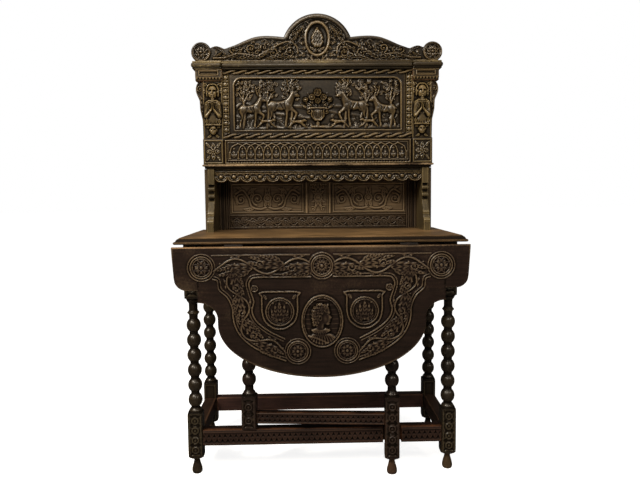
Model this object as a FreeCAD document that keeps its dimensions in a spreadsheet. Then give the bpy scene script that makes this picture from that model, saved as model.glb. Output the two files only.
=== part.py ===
"""A carved oak gate-leg server: bobbin-turned table with a hanging drop leaf on iron
hinges, a swinging gate that carries the raised leaf, and a low gallery under a carved hood.

Millimetres, +Z up, front towards -Y, origin on the floor under the middle of the piece.
"""
import math
import os
import re

import FreeCAD
import Part
from FreeCAD import Placement, Rotation, Vector

doc = FreeCAD.newDocument("gate_leg_server")

# Driving dimensions
SIZES = {
    # table top
    "top_width": 884, "top_depth": 441, "top_thickness": 20, "top_height": 760,
    "top_edge_round": 7, "back_overhang": 43, "front_overhang": 90, "end_overhang": 39,
    # turned legs
    "leg_square": 46, "leg_bead_count": 6,
    "foot_height": 52, "foot_radius": 16.5, "foot_sole_radius": 13, "foot_neck_radius": 8.5,
    "foot_swell_height": 12, "lower_block_height": 147, "upper_block_height": 172,
    "shoulder_height": 22, "neck_radius": 13.5, "bead_radius": 22,
    "bead_lift": 41, "collar_radius": 18.5, "collar_tube": 4.5, "collar_lift": 39, "collar_drop": 48,
    # rails of the table frame
    "apron_height": 120, "apron_thickness": 22,
    "stretcher_bottom": 94, "stretcher_height": 50, "stretcher_thickness": 40,
    "tenon_length": 15, "tenon_thickness": 12, "tenon_shoulder": 6, "tenon_clearance": 0.2,
    "peg_radius": 4, "peg_length": 34, "peg_proud": 1, "peg_inset": 7.5, "peg_stagger": 12,
    "peg_clearance": 0.1,
    # gate
    "gate_post_inset": 171, "gate_radius": 452, "gate_ajar": 4.3, "gate_block_top": 247,
    "gate_bead_lift": 56, "gate_bead_count": 5, "gate_block_margin": 17,
    "gate_rail_bottom": 161, "gate_rail_height": 37, "gate_rail_thickness": 26,
    "gate_upper_rail_drop": 14, "gate_upper_rail_height": 44,
    "gate_head_gap": 10, "gate_floor_gap": 0.5,
    "pintle_radius": 9, "pintle_length": 18, "pintle_clearance": 0.08, "pivot_end_gap": 0.4,
    "lap_clearance": 0.5, "lap_end_gap": 3, "slot_inner_gap": 4, "slot_outer_gap": 9,
    # drop leaf, depths measured down from its hinged edge
    "leaf_thickness": 20, "leaf_end_overhang": 1, "leaf_taper": 6, "leaf_ear_depth": 126,
    "leaf_ear_radius": 36, "leaf_ear_width": 75, "leaf_step_depth": 163, "leaf_cove_depth": 215,
    "leaf_cove_width": 58, "leaf_bow_start": 230, "leaf_bow_depth": 163, "leaf_edge_drop": 3,
    "leaf_relief": 3, "leaf_fillet": 5, "leaf_wheel": 33, "leaf_wheel_rim": 6, "leaf_flower": 14,
    "stop_width": 60, "stop_depth": 44, "stop_clearance": 0.4, "stop_reach": 302,
    # iron hinges of the leaf
    "hinge_setback": 1, "leaf_offset": 5.3, "hinge_inset": 180, "hinge_width": 54,
    "hinge_knuckle": 18, "hinge_flap": 44, "hinge_plate": 2.5, "knuckle_radius": 5,
    "knuckle_gap": 0.3, "flap_relief": 0.6, "pin_radius": 2.5, "pin_clearance": 0.06,
    "screw_radius": 1.8, "screw_length": 13, "screw_head_radius": 3.6, "screw_head": 1.2,
    "screw_clearance": 0.1, "screw_spacing": 17, "screw_inset": 25,
    # gallery above the table
    "super_inset": 4, "gallery_height": 217, "gallery_thickness": 24, "gallery_inset": 44,
    "stile_width": 76, "gallery_sill": 57, "gallery_lintel": 47, "muntin_half": 48.5,
    "panel_thickness": 10, "panel_recess": 8, "panel_tongue": 6, "panel_clearance": 0.3,
    "bracket_inset": 60, "bracket_thickness": 22, "bracket_block": 55, "bracket_foot": 38,
    "bracket_groove": 5, "bracket_ring": 12, "bracket_step_height": 32,
    "gallery_end_thickness": 15, "gallery_end_setback": 24,
    # hood
    "canopy_depth": 135, "canopy_inset": 50, "end_thickness": 20,
    "shelf_thickness": 14, "shelf_overhang": 6, "shelf_nose": 12,
    "valance_drop": 48, "valance_scallop": 9, "valance_thickness": 14, "valance_setback": 8,
    "valance_lobes": 16,
    "frieze_height": 88, "pilaster_width": 67, "frieze_setback": 5, "board_thickness": 16,
    "block_overhang": 3, "block_proud": 3, "pilaster_thickness": 22,
    "panel_height": 233, "relief_setback": 9, "relief_thickness": 14,
    "border_width": 16, "border_top": 10, "border_bottom": 9, "border_depth": 6, "figure_height": 8,
    "twist_lower_height": 19, "twist_upper_height": 16, "side_moulding_width": 21,
    "capital_height": 38, "capital_overhang": 23, "capital_proud": 12,
    "console_depth": 56, "console_setback": 4, "console_reach": 24,
    "head_radius": 19, "head_drop": 46, "mask_radius": 20, "mask_lift": 32,
    "torso_top_radius": 29, "torso_low_radius": 20, "torso_height": 78, "torso_lift": 62,
    "back_thickness": 10,
    "cornice_thickness": 26, "cornice_overhang": 35, "cornice_nose": 12, "cornice_break": 10,
    # cresting
    "crest_thickness": 22, "crest_arch_radius": 122, "crest_arch_height": 161,
    "crest_arch_half": 111, "crest_hump_x": 180, "crest_hump_height": 87,
    "crest_turn_inset": 146, "crest_turn_height": 70, "crest_sweep_inset": 93, "crest_sweep_height": 49,
    "crest_dip_inset": 79, "crest_dip_height": 45, "crest_bump_inset": 53, "crest_bump_height": 53,
    "rosette_inset": 32, "rosette_height": 33, "rosette_radius": 34, "rosette_proud": 5,
    "rosette_clearance": 1,
    "medallion_lift": 76, "medallion_half_width": 42, "medallion_half_height": 58,
    "medallion_proud": 6,
}

# Places and sizes worked out from them
PLACES = {
    "back_y": "(top_depth + hinge_setback + leaf_offset + leaf_thickness) / 2",
    "top_front_y": "back_y - top_depth",
    "under_top": "top_height - top_thickness",
    "hinge_y": "top_front_y - hinge_setback",
    "hinge_z": "under_top - leaf_offset",
    "leaf_back_y": "hinge_y - leaf_offset",
    "leaf_top": "hinge_z - leaf_edge_drop",
    "top_half": "top_width / 2",
    "leg_x": "top_half - end_overhang",
    "leg_half": "leg_square / 2",
    "leg_back_y": "back_y - back_overhang",
    "leg_front_y": "top_front_y + front_overhang",
    "inner_x": "leg_x - leg_half",
    "lower_block_top": "foot_height + lower_block_height",
    "upper_block_bottom": "under_top - upper_block_height",
    "first_bead": "lower_block_top + bead_lift",
    "collar_z": "upper_block_bottom - collar_drop",
    "bead_pitch": "(collar_z - collar_lift - first_bead) / (leg_bead_count - 1)",
    "apron_bottom": "under_top - apron_height",
    "stretcher_top": "stretcher_bottom + stretcher_height",
    "gate_leg_top": "under_top - gate_head_gap",
    "post_bottom": "stretcher_top + pivot_end_gap",
    "post_top": "apron_bottom - pivot_end_gap",
    "gate_rail_top": "gate_rail_bottom + gate_rail_height",
    "gate_upper_rail_top": "apron_bottom - gate_upper_rail_drop",
    "gate_upper_rail_bottom": "gate_upper_rail_top - gate_upper_rail_height",
    "gate_pivot_x": "gate_post_inset - leg_x",
    "gate_upper_block_bottom": "gate_upper_rail_bottom - gate_block_margin",
    "gate_first_bead": "gate_block_top + gate_bead_lift",
    "gate_last_bead": "gate_upper_block_bottom - gate_bead_lift",
    "gate_bead_pitch": "(gate_last_bead - gate_first_bead) / (gate_bead_count - 1)",
    "slot_left": "gate_pivot_x + gate_radius - leg_half - slot_inner_gap",
    "slot_right": "gate_pivot_x + gate_radius + leg_half + slot_outer_gap",
    "stop_thickness": "gate_head_gap - stop_clearance",
    "leaf_half_width": "top_half + leaf_end_overhang",
    "leaf_depth": "leaf_bow_start + leaf_bow_depth",
    "leaf_ground_y": "leaf_back_y - leaf_thickness + leaf_relief",
    "leaf_step_x": "leaf_half_width - leaf_ear_width",
    "leaf_bow_x": "leaf_step_x - leaf_cove_width",
    "hinge_x": "top_half - hinge_inset",
    "gallery_half": "top_half - gallery_inset",
    "gallery_opening": "gallery_half - stile_width",
    "bracket_inner": "top_half - bracket_inset - bracket_thickness",
    "canopy_half": "top_half - canopy_inset",
    "shelf_half": "canopy_half + shelf_overhang",
    "frieze_half": "canopy_half - pilaster_width",
    "block_half": "canopy_half + block_overhang",
    "capital_half": "canopy_half + capital_overhang",
    "cornice_half": "canopy_half + cornice_overhang",
    "rosette_x": "cornice_half - rosette_inset",
    "crest_turn_x": "rosette_x - crest_turn_inset",
    "crest_sweep_x": "rosette_x - crest_sweep_inset",
    "crest_dip_x": "rosette_x - crest_dip_inset",
    "crest_bump_x": "rosette_x - crest_bump_inset",
    "super_back_y": "back_y - super_inset",
    "gallery_y": "super_back_y - gallery_thickness",
    "hood_y": "super_back_y - canopy_depth",
    "shelf_bottom": "top_height + gallery_height",
    "shelf_top": "shelf_bottom + shelf_thickness",
    "frieze_top": "shelf_top + frieze_height",
    "cornice_bottom": "frieze_top + panel_height",
    "cornice_top": "cornice_bottom + cornice_thickness",
    "capital_bottom": "cornice_bottom - capital_height",
    "sill_top": "top_height + gallery_sill",
    "lintel_bottom": "shelf_bottom - gallery_lintel",
    "panel_front_y": "gallery_y + panel_recess",
    "panel_back_y": "panel_front_y + panel_thickness",
    "relief_y": "hood_y + relief_setback",
    "field_half": "frieze_half - side_moulding_width - border_width",
    "field_bottom": "frieze_top + twist_lower_height + border_bottom",
    "field_top": "cornice_bottom - twist_upper_height - border_top",
    "field_height": "field_top - field_bottom",
    "field_y": "relief_y + border_depth",
}
ALONG = {
    "x": Rotation(Vector(0, 1, 0), 90),
    "y": Rotation(Vector(1, 0, 0), -90),
    "z": Rotation(),
}
AXES = ("x", "y", "z")


def with_sheet_names(text, sheets):
    """An expression with the name of its sheet before each alias."""
    def named(match):
        word = match[0]
        for sheet, aliases in sheets.items():
            if word in aliases:
                return f"{sheet}.{word}"
        return word
    return re.sub(r"[a-z_][a-z_0-9]*", named, str(text))


def fill_sheet(name, cells):
    sheet = doc.addObject("Spreadsheet::Sheet", name)
    for row, (alias, content) in enumerate(cells.items(), start=1):
        sheet.set(f"A{row}", alias)
        sheet.set(f"B{row}", content)
        sheet.setAlias(f"B{row}", alias)
    return sheet


sizes = fill_sheet("sizes", {alias: str(number) for alias, number in SIZES.items()})
formulas = {alias: "=" + with_sheet_names(text, {"sizes": SIZES}) for alias, text in PLACES.items()}
places = fill_sheet("places", formulas)
doc.recompute()


def bind(thing, prop, text):
    thing.setExpression(prop, with_sheet_names(text, {"sizes": SIZES, "places": PLACES}))


def size(alias):
    """The number that a cell holds."""
    return float(getattr(sizes if alias in SIZES else places, alias))


def locate(thing, x="0", y="0", z="0"):
    for axis, text in zip(AXES, (x, y, z)):
        bind(thing, "Placement.Base." + axis, text)
    return thing


def box(name, x, y, z):
    """A block between a low and a high expression along each axis."""
    block = doc.addObject("Part::Box", name)
    for prop, (low, high) in zip(("Length", "Width", "Height"), (x, y, z)):
        bind(block, prop, f"({high}) - ({low})")
    return locate(block, x[0], y[0], z[0])


def rod(name, radius, length, at, along="z"):
    """A round rod from a point along an axis."""
    cylinder = doc.addObject("Part::Cylinder", name)
    cylinder.Placement = Placement(Vector(), ALONG[along])
    bind(cylinder, "Radius", radius)
    bind(cylinder, "Height", length)
    return locate(cylinder, *at)


def cone(name, low_radius, high_radius, at, height):
    frustum = doc.addObject("Part::Cone", name)
    bind(frustum, "Radius1", low_radius)
    bind(frustum, "Radius2", high_radius)
    bind(frustum, "Height", height)
    return locate(frustum, *at)


def ball(name, radius, at):
    sphere = doc.addObject("Part::Sphere", name)
    bind(sphere, "Radius", radius)
    return locate(sphere, *at)


def fuse(name, solids):
    union = doc.addObject("Part::MultiFuse", name)
    union.Shapes = solids
    return union


def cut(name, base, tools):
    result = doc.addObject("Part::Cut", name)
    result.Base = base
    result.Tool = tools[0] if len(tools) == 1 else fuse(name + "_cuts", tools)
    return result


def common(name, base, tool):
    result = doc.addObject("Part::Common", name)
    result.Base = base
    result.Tool = tool
    return result


def mirrored_span(side, near, far):
    """The low and high ends of near..far on the left (-1) or right (1) side."""
    return (near, far) if side > 0 else (f"-({far})", f"-({near})")


def outline(start, *steps):
    """Curves round a closed shape: one point makes a line, two an arc through the first."""
    here = Vector(*start)
    curves = []
    for step in steps:
        points = [Vector(*point) for point in step]
        if len(points) == 1:
            curves.append(Part.LineSegment(here, points[0]))
        else:
            curves.append(Part.Arc(here, points[0], points[1]))
        here = points[-1]
    return curves


def profiled(label, plane, curves, thickness, at):
    """A body padded from a drawn outline. XZ outlines pad forward, YZ outlines to the right."""
    body = doc.addObject("PartDesign::Body", label)
    sketch = body.newObject("Sketcher::SketchObject", label + "_outline")
    origin_plane = [item for item in body.Origin.OriginFeatures if item.Role == plane][0]
    sketch.AttachmentSupport = (origin_plane, [""])
    sketch.MapMode = "FlatFace"
    for curve in curves:
        sketch.addGeometry(curve, False)
    pad = body.newObject("PartDesign::Pad", label + "_pad")
    pad.Profile = sketch
    bind(pad, "Length", thickness)
    return locate(body, *at)


def drawn(points):
    """Straight lines round a closed shape."""
    return outline((*points[0], 0), *[[(x, z, 0)] for x, z in points[1:] + points[:1]])


def strip(line, width):
    """The outline of a narrow fillet along a line of points."""
    spots = [Vector(x, z, 0) for x, z in line]
    upper, lower = [], []
    for index, spot in enumerate(spots):
        ahead = spots[min(index + 1, len(spots) - 1)] - spots[max(index - 1, 0)]
        aside = Vector(-ahead.y, ahead.x, 0).normalize() * (width / 2)
        upper.append(spot + aside)
        lower.insert(0, spot - aside)
    return drawn([(spot.x, spot.y) for spot in upper + lower])


nodes = {}


def keep(label, solid):
    """Name a finished piece."""
    solid.Label = label
    nodes[label] = solid
    return solid


SIDES = {"left": -1, "right": 1}
ENDS = {"front": -1, "back": 1}


def leg_centre(x_side, y_end):
    return f"{x_side} * leg_x", "leg_front_y" if y_end < 0 else "leg_back_y"


# Pegs and tenoned rails of the table frame
def rail_levels():
    return {
        "apron": ("apron_bottom", "under_top", "apron_thickness"),
        "stretcher": ("stretcher_bottom", "stretcher_top", "stretcher_thickness"),
    }


def rail_bars(name, kind, direction, centre, low_end, high_end):
    """The rail between the legs, the tenon bar through it, and the socket that it needs."""
    bottom, top, thickness = rail_levels()[kind]
    bars = []
    for suffix, reach, half, shoulder in (
            ("body", "0", f"{thickness} / 2", "0"),
            ("tenon", "tenon_length", "tenon_thickness / 2", "tenon_shoulder"),
            ("socket", "tenon_length + 2 * tenon_clearance", "tenon_thickness / 2 + tenon_clearance",
             "tenon_shoulder - tenon_clearance")):
        run = (f"{low_end} - ({reach})", f"{high_end} + {reach}")
        width = (f"{centre} - ({half})", f"{centre} + {half}")
        rise = (f"{bottom} + {shoulder}", f"{top} - ({shoulder})")
        x, y = (run, width) if direction == "x" else (width, run)
        bars.append(box(f"{name}_{suffix}", x, y, rise))
    return bars


def corner_peg(name, kind, direction, x_side, y_end, hole):
    """A peg, or the hole for it, through a corner leg and the tenon that runs along direction."""
    bottom, top, _ = rail_levels()[kind]
    x, y = leg_centre(x_side, y_end)
    radius = "peg_radius + peg_clearance" if hole else "peg_radius"
    proud = "peg_proud"
    length = f"peg_length + {proud}" + (" + peg_clearance" if hole else "")
    level = f"({bottom} + {top}) / 2 + {1 if direction == 'x' else -1} * peg_stagger"
    inset = "(leg_half - peg_inset)"
    if direction == "x":
        outside = f"{y} + {y_end} * (leg_half + {proud})"
        start = outside if y_end < 0 else f"{outside} - ({length})"
        return rod(name, radius, length, (f"{x} - {x_side} * {inset}", start, level), "y")
    outside = f"{x} + {x_side} * (leg_half + {proud})"
    start = outside if x_side < 0 else f"{outside} - ({length})"
    return rod(name, radius, length, (start, f"{y} - {y_end} * {inset}", level), "x")


leg_tools = {(x_side, y_end): [] for x_side in SIDES.values() for y_end in ENDS.values()}
rail_solids = {}
rail_tools = {}
pegs = []
for kind in rail_levels():
    for end_name, y_end in ENDS.items():
        rail = f"{end_name}_{kind}"
        body, tenon, socket = rail_bars(rail, kind, "x", leg_centre(1, y_end)[1], "-inner_x", "inner_x")
        rail_solids[rail] = fuse(rail + "_solid", [body, tenon])
        rail_tools[rail] = []
        for side_name, x_side in SIDES.items():
            hole = corner_peg(f"{rail}_{side_name}_hole", kind, "x", x_side, y_end, True)
            pegs.append(corner_peg(f"{rail}_{side_name}_peg", kind, "x", x_side, y_end, False))
            leg_tools[x_side, y_end] += [socket, hole]
            rail_tools[rail].append(hole)
    for side_name, x_side in SIDES.items():
        rail = f"side_{kind}_{side_name}"
        body, tenon, socket = rail_bars(rail, kind, "y", leg_centre(x_side, 1)[0],
                                        "(leg_front_y + leg_half)", "(leg_back_y - leg_half)")
        rail_solids[rail] = fuse(rail + "_solid", [body, tenon])
        rail_tools[rail] = []
        for end_name, y_end in ENDS.items():
            hole = corner_peg(f"{rail}_{end_name}_hole", kind, "y", x_side, y_end, True)
            pegs.append(corner_peg(f"{rail}_{end_name}_peg", kind, "y", x_side, y_end, False))
            leg_tools[x_side, y_end] += [socket, hole]
            rail_tools[rail].append(hole)

# The gate leg laps into slots in the front rails, and its post turns on pintles between them
for rail, (bottom, top, thickness) in (("front_apron", rail_levels()["apron"]),
                                       ("front_stretcher", rail_levels()["stretcher"])):
    rail_tools[rail].append(box(
        rail + "_slot", ("slot_left", "slot_right"),
        (f"leg_front_y - {thickness}", "leg_front_y + lap_clearance"),
        (f"{bottom} - lap_end_gap", f"{top} + lap_end_gap")))
bore = "pintle_radius + pintle_clearance"
bore_depth = "pintle_length + pivot_end_gap"
rail_tools["front_stretcher"].append(rod(
    "stretcher_bore", bore, bore_depth, ("gate_pivot_x", "leg_front_y", f"stretcher_top - ({bore_depth})")))
rail_tools["front_apron"].append(rod(
    "apron_bore", bore, bore_depth, ("gate_pivot_x", "leg_front_y", "apron_bottom")))
for rail, solid in rail_solids.items():
    keep(rail, cut(rail, solid, rail_tools[rail]))
keep("frame_pegs", fuse("frame_pegs", pegs))


# Turned members
def squared_block(name, x, y, bottom, top, low_shoulder, high_shoulder):
    """A square block whose ends are rounded off towards the turning."""
    block = box(name + "_square", (f"{x} - leg_half", f"{x} + leg_half"),
                (f"{y} - leg_half", f"{y} + leg_half"),
                (f"{bottom} - ({low_shoulder})", f"{top} + {high_shoulder}"))
    corner_radius = "leg_square * 0.75"
    hull = [rod(name + "_round", corner_radius, f"{top} - ({bottom})", (x, y, bottom))]
    if low_shoulder != "0":
        hull.append(cone(name + "_low_shoulder", "neck_radius", corner_radius,
                         (x, y, f"{bottom} - ({low_shoulder})"), low_shoulder))
    if high_shoulder != "0":
        hull.append(cone(name + "_high_shoulder", corner_radius, "neck_radius",
                         (x, y, top), high_shoulder))
    envelope = hull[0] if len(hull) == 1 else fuse(name + "_envelope", hull)
    return common(name, block, envelope)


def beaded_shaft(name, x, y, bottom, top, first_bead, pitch, count):
    """The bobbin turning between two blocks."""
    shaft = [rod(name + "_core", "neck_radius", f"{top} - ({bottom})", (x, y, bottom))]
    for index in range(count):
        shaft.append(ball(f"{name}_bead_{index}", "bead_radius",
                          (x, y, f"{first_bead} + {index} * {pitch}")))
    return shaft


def collar(name, x, y, level):
    ring = doc.addObject("Part::Torus", name)
    bind(ring, "Radius1", "collar_radius - collar_tube")
    bind(ring, "Radius2", "collar_tube")
    return locate(ring, x, y, level)


def foot(name, x, y, floor):
    """A small vase foot under a leg's lower block."""
    waist = "foot_height - foot_swell_height"
    return [
        cone(name + "_sole", "foot_sole_radius", "foot_radius", (x, y, floor),
             f"foot_swell_height - ({floor})"),
        cone(name + "_vase", "foot_radius", "foot_neck_radius", (x, y, "foot_swell_height"), waist),
    ]


def corner_leg(name, x_side, y_end):
    x, y = leg_centre(x_side, y_end)
    solids = [
        squared_block(name + "_low", x, y, "foot_height", "lower_block_top", "0", "shoulder_height"),
        squared_block(name + "_top", x, y, "upper_block_bottom", "under_top", "shoulder_height", "0"),
        collar(name + "_collar", x, y, "collar_z"),
    ]
    solids += beaded_shaft(name, x, y, "lower_block_top", "upper_block_bottom", "first_bead", "bead_pitch",
                           int(size("leg_bead_count")))
    solids += foot(name + "_foot", x, y, "0")
    return cut(name, fuse(name + "_turned", solids), leg_tools[x_side, y_end])


for end_name, y_end in ENDS.items():
    for side_name, x_side in SIDES.items():
        keep(f"leg_{end_name}_{side_name}", corner_leg(f"leg_{end_name}_{side_name}", x_side, y_end))


# The gate is drawn shut about its pivot and stands a little ajar
def stand_ajar(solid):
    solid.Placement = Placement(Vector(), Rotation(Vector(0, 0, 1), 1))
    bind(solid, "Placement.Rotation.Angle", "-gate_ajar")
    return locate(solid, "gate_pivot_x", "leg_front_y")


gate_rails = {
    "gate_lower_rail": ("gate_rail_bottom", "gate_rail_top"),
    "gate_upper_rail": ("gate_upper_rail_bottom", "gate_upper_rail_top"),
}
gate_sockets = []
gate_holes = []
gate_pegs = []
for rail, (bottom, top) in gate_rails.items():
    inner = ("leg_half", "gate_radius - leg_half")
    body = box(rail + "_body", inner, ("-gate_rail_thickness / 2", "gate_rail_thickness / 2"), (bottom, top))
    tenon = box(rail + "_tenon", (f"{inner[0]} - tenon_length", f"{inner[1]} + tenon_length"),
                ("-tenon_thickness / 2", "tenon_thickness / 2"),
                (f"{bottom} + tenon_shoulder", f"{top} - tenon_shoulder"))
    socket_reach = "tenon_length + 2 * tenon_clearance"
    socket_half = "(tenon_thickness / 2 + tenon_clearance)"
    gate_sockets.append(box(
        rail + "_socket", (f"{inner[0]} - ({socket_reach})", f"{inner[1]} + {socket_reach}"),
        (f"-{socket_half}", socket_half),
        (f"{bottom} + tenon_shoulder - tenon_clearance", f"{top} - tenon_shoulder + tenon_clearance")))
    holes = []
    for end_name, peg_x in (("post", "leg_half - peg_inset"), ("leg", "gate_radius - leg_half + peg_inset")):
        at = (peg_x, "-leg_half - peg_proud", f"({bottom} + {top}) / 2")
        length = "peg_length + peg_proud"
        gate_pegs.append(rod(f"{rail}_{end_name}_peg", "peg_radius", length, at, "y"))
        holes.append(rod(f"{rail}_{end_name}_hole", "peg_radius + peg_clearance",
                         length + " + peg_clearance", at, "y"))
    gate_holes += holes
    keep(rail, stand_ajar(cut(rail, fuse(rail + "_solid", [body, tenon]), holes)))
keep("gate_pegs", stand_ajar(fuse("gate_pegs", gate_pegs)))

gate_beads = ("gate_first_bead", "gate_bead_pitch", int(size("gate_bead_count")))
post_solids = [
    squared_block("gate_post_low", "0", "0", "post_bottom", "gate_block_top", "0", "shoulder_height"),
    squared_block("gate_post_top", "0", "0", "gate_upper_block_bottom", "post_top", "shoulder_height", "0"),
    rod("gate_post_low_pintle", "pintle_radius", "pintle_length + pivot_end_gap",
        ("0", "0", "post_bottom - pintle_length")),
    rod("gate_post_top_pintle", "pintle_radius", "pintle_length + pivot_end_gap",
        ("0", "0", "post_top - pivot_end_gap")),
]
post_solids += beaded_shaft("gate_post", "0", "0", "gate_block_top", "gate_upper_block_bottom", *gate_beads)
keep("gate_post", stand_ajar(cut("gate_post", fuse("gate_post_turned", post_solids),
                                 gate_sockets + gate_holes)))

leg_solids = [
    squared_block("gate_leg_low", "gate_radius", "0", "foot_height", "gate_block_top", "0",
                  "shoulder_height"),
    squared_block("gate_leg_top", "gate_radius", "0", "gate_upper_block_bottom", "gate_leg_top",
                  "shoulder_height", "0"),
]
leg_solids += beaded_shaft("gate_leg", "gate_radius", "0", "gate_block_top", "gate_upper_block_bottom",
                           *gate_beads)
leg_solids += foot("gate_leg_foot", "gate_radius", "0", "gate_floor_gap")
lap_x = ("gate_radius - leg_square", "gate_radius + leg_square")
laps = [
    box("gate_leg_top_lap", lap_x, ("0", "leg_square"), ("apron_bottom - lap_end_gap", "under_top")),
    box("gate_leg_low_lap", lap_x, ("0", "leg_square"),
        ("stretcher_bottom - lap_end_gap", "stretcher_top + lap_end_gap")),
]
keep("gate_leg", stand_ajar(cut("gate_leg", fuse("gate_leg_turned", leg_solids),
                                gate_sockets + gate_holes + laps)))


# Iron hinges, their screws and pins
def screw_rows():
    """Screw places on a hinge flap: across the hinge and out from the pin."""
    return [(f"{side} * screw_spacing", "screw_inset") for side in (-1, 1)] + [("0", "hinge_flap - 8")]


def screw_set(name, x_side, fixed, hole):
    """The screws of one flap, or the holes for them."""
    grow = " + screw_clearance" if hole else ""
    solids = []
    for index, (across, out) in enumerate(screw_rows()):
        x = f"{x_side} * hinge_x + {across}"
        for part_name, radius, start, length in (
                ("shank", "screw_radius", "0", "screw_length"),
                ("head", "screw_head_radius", "-screw_head", "screw_head")):
            if hole and part_name == "head":
                continue
            label = f"{name}_{part_name}_{index}"
            if fixed:
                at = (x, f"hinge_y + {out}", f"under_top - hinge_plate + {start}")
                solids.append(rod(label, radius + grow, length + grow, at, "z"))
            else:
                at = (x, f"leaf_back_y + hinge_plate - ({start}) - ({length}{grow})",
                      f"hinge_z - ({out})")
                solids.append(rod(label, radius + grow, length + grow, at, "y"))
    return solids


def hinge_half(name, x_side, fixed):
    """One flap with its knuckles: the middle knuckle is fixed, the outer two lift with the leaf."""
    x = f"{x_side} * hinge_x"
    clear = "(knuckle_radius + flap_relief)"
    middle = (f"{x} - hinge_knuckle / 2", f"{x} + hinge_knuckle / 2")
    outer = [(f"{x} - hinge_width / 2", f"{middle[0]} - knuckle_gap"),
             (f"{middle[1]} + knuckle_gap", f"{x} + hinge_width / 2")]
    span = (f"{x} - hinge_width / 2", f"{x} + hinge_width / 2")
    solids = []
    if fixed:
        rise = ("under_top - hinge_plate", "under_top")
        solids.append(box(name + "_flap", span, (f"hinge_y + {clear}", "hinge_y + hinge_flap"), rise))
        solids.append(box(name + "_tab", middle, ("hinge_y + flap_relief", f"hinge_y + {clear}"), rise))
        knuckles = [middle]
    else:
        depth = ("leaf_back_y", "leaf_back_y + hinge_plate")
        solids.append(box(name + "_flap", span, depth, ("hinge_z - hinge_flap", f"hinge_z - {clear}")))
        for index, run in enumerate(outer):
            solids.append(box(f"{name}_tab_{index}", run, depth,
                              (f"hinge_z - {clear}", "hinge_z - flap_relief")))
        knuckles = outer
    for index, (low, high) in enumerate(knuckles):
        solids.append(rod(f"{name}_knuckle_{index}", "knuckle_radius", f"({high}) - ({low})",
                          (low, "hinge_y", "hinge_z"), "x"))
    bore_tool = rod(name + "_bore", "pin_radius + pin_clearance", "hinge_width",
                    (span[0], "hinge_y", "hinge_z"), "x")
    return cut(name, fuse(name + "_solid", solids),
               [bore_tool] + screw_set(name + "_hole", x_side, fixed, True))


top_screw_holes = []
leaf_screw_holes = []
top_screws = []
leaf_screws = []
pins = []
for side_name, x_side in SIDES.items():
    keep(f"hinge_plate_{side_name}", hinge_half(f"hinge_plate_{side_name}", x_side, True))
    keep(f"hinge_strap_{side_name}", hinge_half(f"hinge_strap_{side_name}", x_side, False))
    pins.append(rod(f"pin_{side_name}", "pin_radius", "hinge_width",
                    (f"{x_side} * hinge_x - hinge_width / 2", "hinge_y", "hinge_z"), "x"))
    top_screws += screw_set(f"top_screw_{side_name}", x_side, True, False)
    leaf_screws += screw_set(f"leaf_screw_{side_name}", x_side, False, False)
    top_screw_holes += screw_set(f"top_hole_{side_name}", x_side, True, True)
    leaf_screw_holes += screw_set(f"leaf_hole_{side_name}", x_side, False, True)
keep("hinge_pins", fuse("hinge_pins", pins))
keep("hinge_screws_top", fuse("hinge_screws_top", top_screws))
keep("hinge_screws_leaf", fuse("hinge_screws_leaf", leaf_screws))

# Table top with a rounded upper edge
top_slab = box("top_slab", ("-top_width / 2", "top_width / 2"), ("top_front_y", "back_y"),
               ("under_top", "top_height"))
doc.recompute()


def upper_edges(shape, level, skip_y):
    """Numbers of the edges at a level, leaving out those that run along the back."""
    numbers = []
    for number, edge in enumerate(shape.Edges, start=1):
        middle = edge.CenterOfMass
        if abs(edge.BoundBox.ZMin - level) < 0.01 and edge.BoundBox.ZLength < 0.01:
            if abs(middle.y - skip_y) > 0.01:
                numbers.append(number)
    return numbers


rounded_top = doc.addObject("Part::Fillet", "top_rounded")
rounded_top.Base = top_slab
edge_round = min(size("top_edge_round"), size("top_thickness") * 0.8)
rounded_top.Edges = [(number, edge_round, edge_round)
                     for number in upper_edges(top_slab.Shape, size("top_height"), size("back_y"))]
keep("table_top", cut("table_top", rounded_top, top_screw_holes))


# Drop leaf
def leaf_curves():
    half, ear = size("leaf_half_width"), size("leaf_ear_depth")
    corner = size("leaf_ear_radius")
    ear_x = half - size("leaf_taper")
    step_x, step = size("leaf_step_x"), size("leaf_step_depth")
    bow_x, bow, cove = size("leaf_bow_x"), size("leaf_bow_start"), size("leaf_cove_depth")
    diagonal = math.sqrt(0.5)
    ear_mid = (ear_x - corner * (1 - diagonal), -ear + corner * (1 - diagonal))
    cove_mid = (step_x - (step_x - bow_x) * diagonal, -cove + (cove - step) * diagonal)
    right = [
        [(ear_x, -ear + corner)],
        [ear_mid, (ear_x - corner, -ear)],
        [(step_x, -ear)],
        [(step_x, -step)],
        [cove_mid, (bow_x, -cove)],
        [(bow_x, -bow)],
    ]
    left_points = [(-x, z) for x, z in ((bow_x, -bow), (bow_x, -cove), (step_x, -step), (step_x, -ear),
                                        (ear_x - corner, -ear), (ear_x, -ear + corner), (half, 0))]
    left = [
        [left_points[1]],
        [(-cove_mid[0], cove_mid[1]), left_points[2]],
        [left_points[3]],
        [left_points[4]],
        [(-ear_mid[0], ear_mid[1]), left_points[5]],
        [left_points[6]],
        [(half, 0)],
    ]
    flat = [[(x, z, 0) for x, z in step] for step in right]
    flat_left = [[(x, z, 0) for x, z in step] for step in left]
    bow_curve = Part.ArcOfEllipse(
        Part.Ellipse(Vector(0, -bow, 0), bow_x, size("leaf_bow_depth")), math.pi, 2 * math.pi)
    return (outline((half, 0, 0), *flat) + [bow_curve]
            + outline((-bow_x, -bow, 0), *flat_left))


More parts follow.
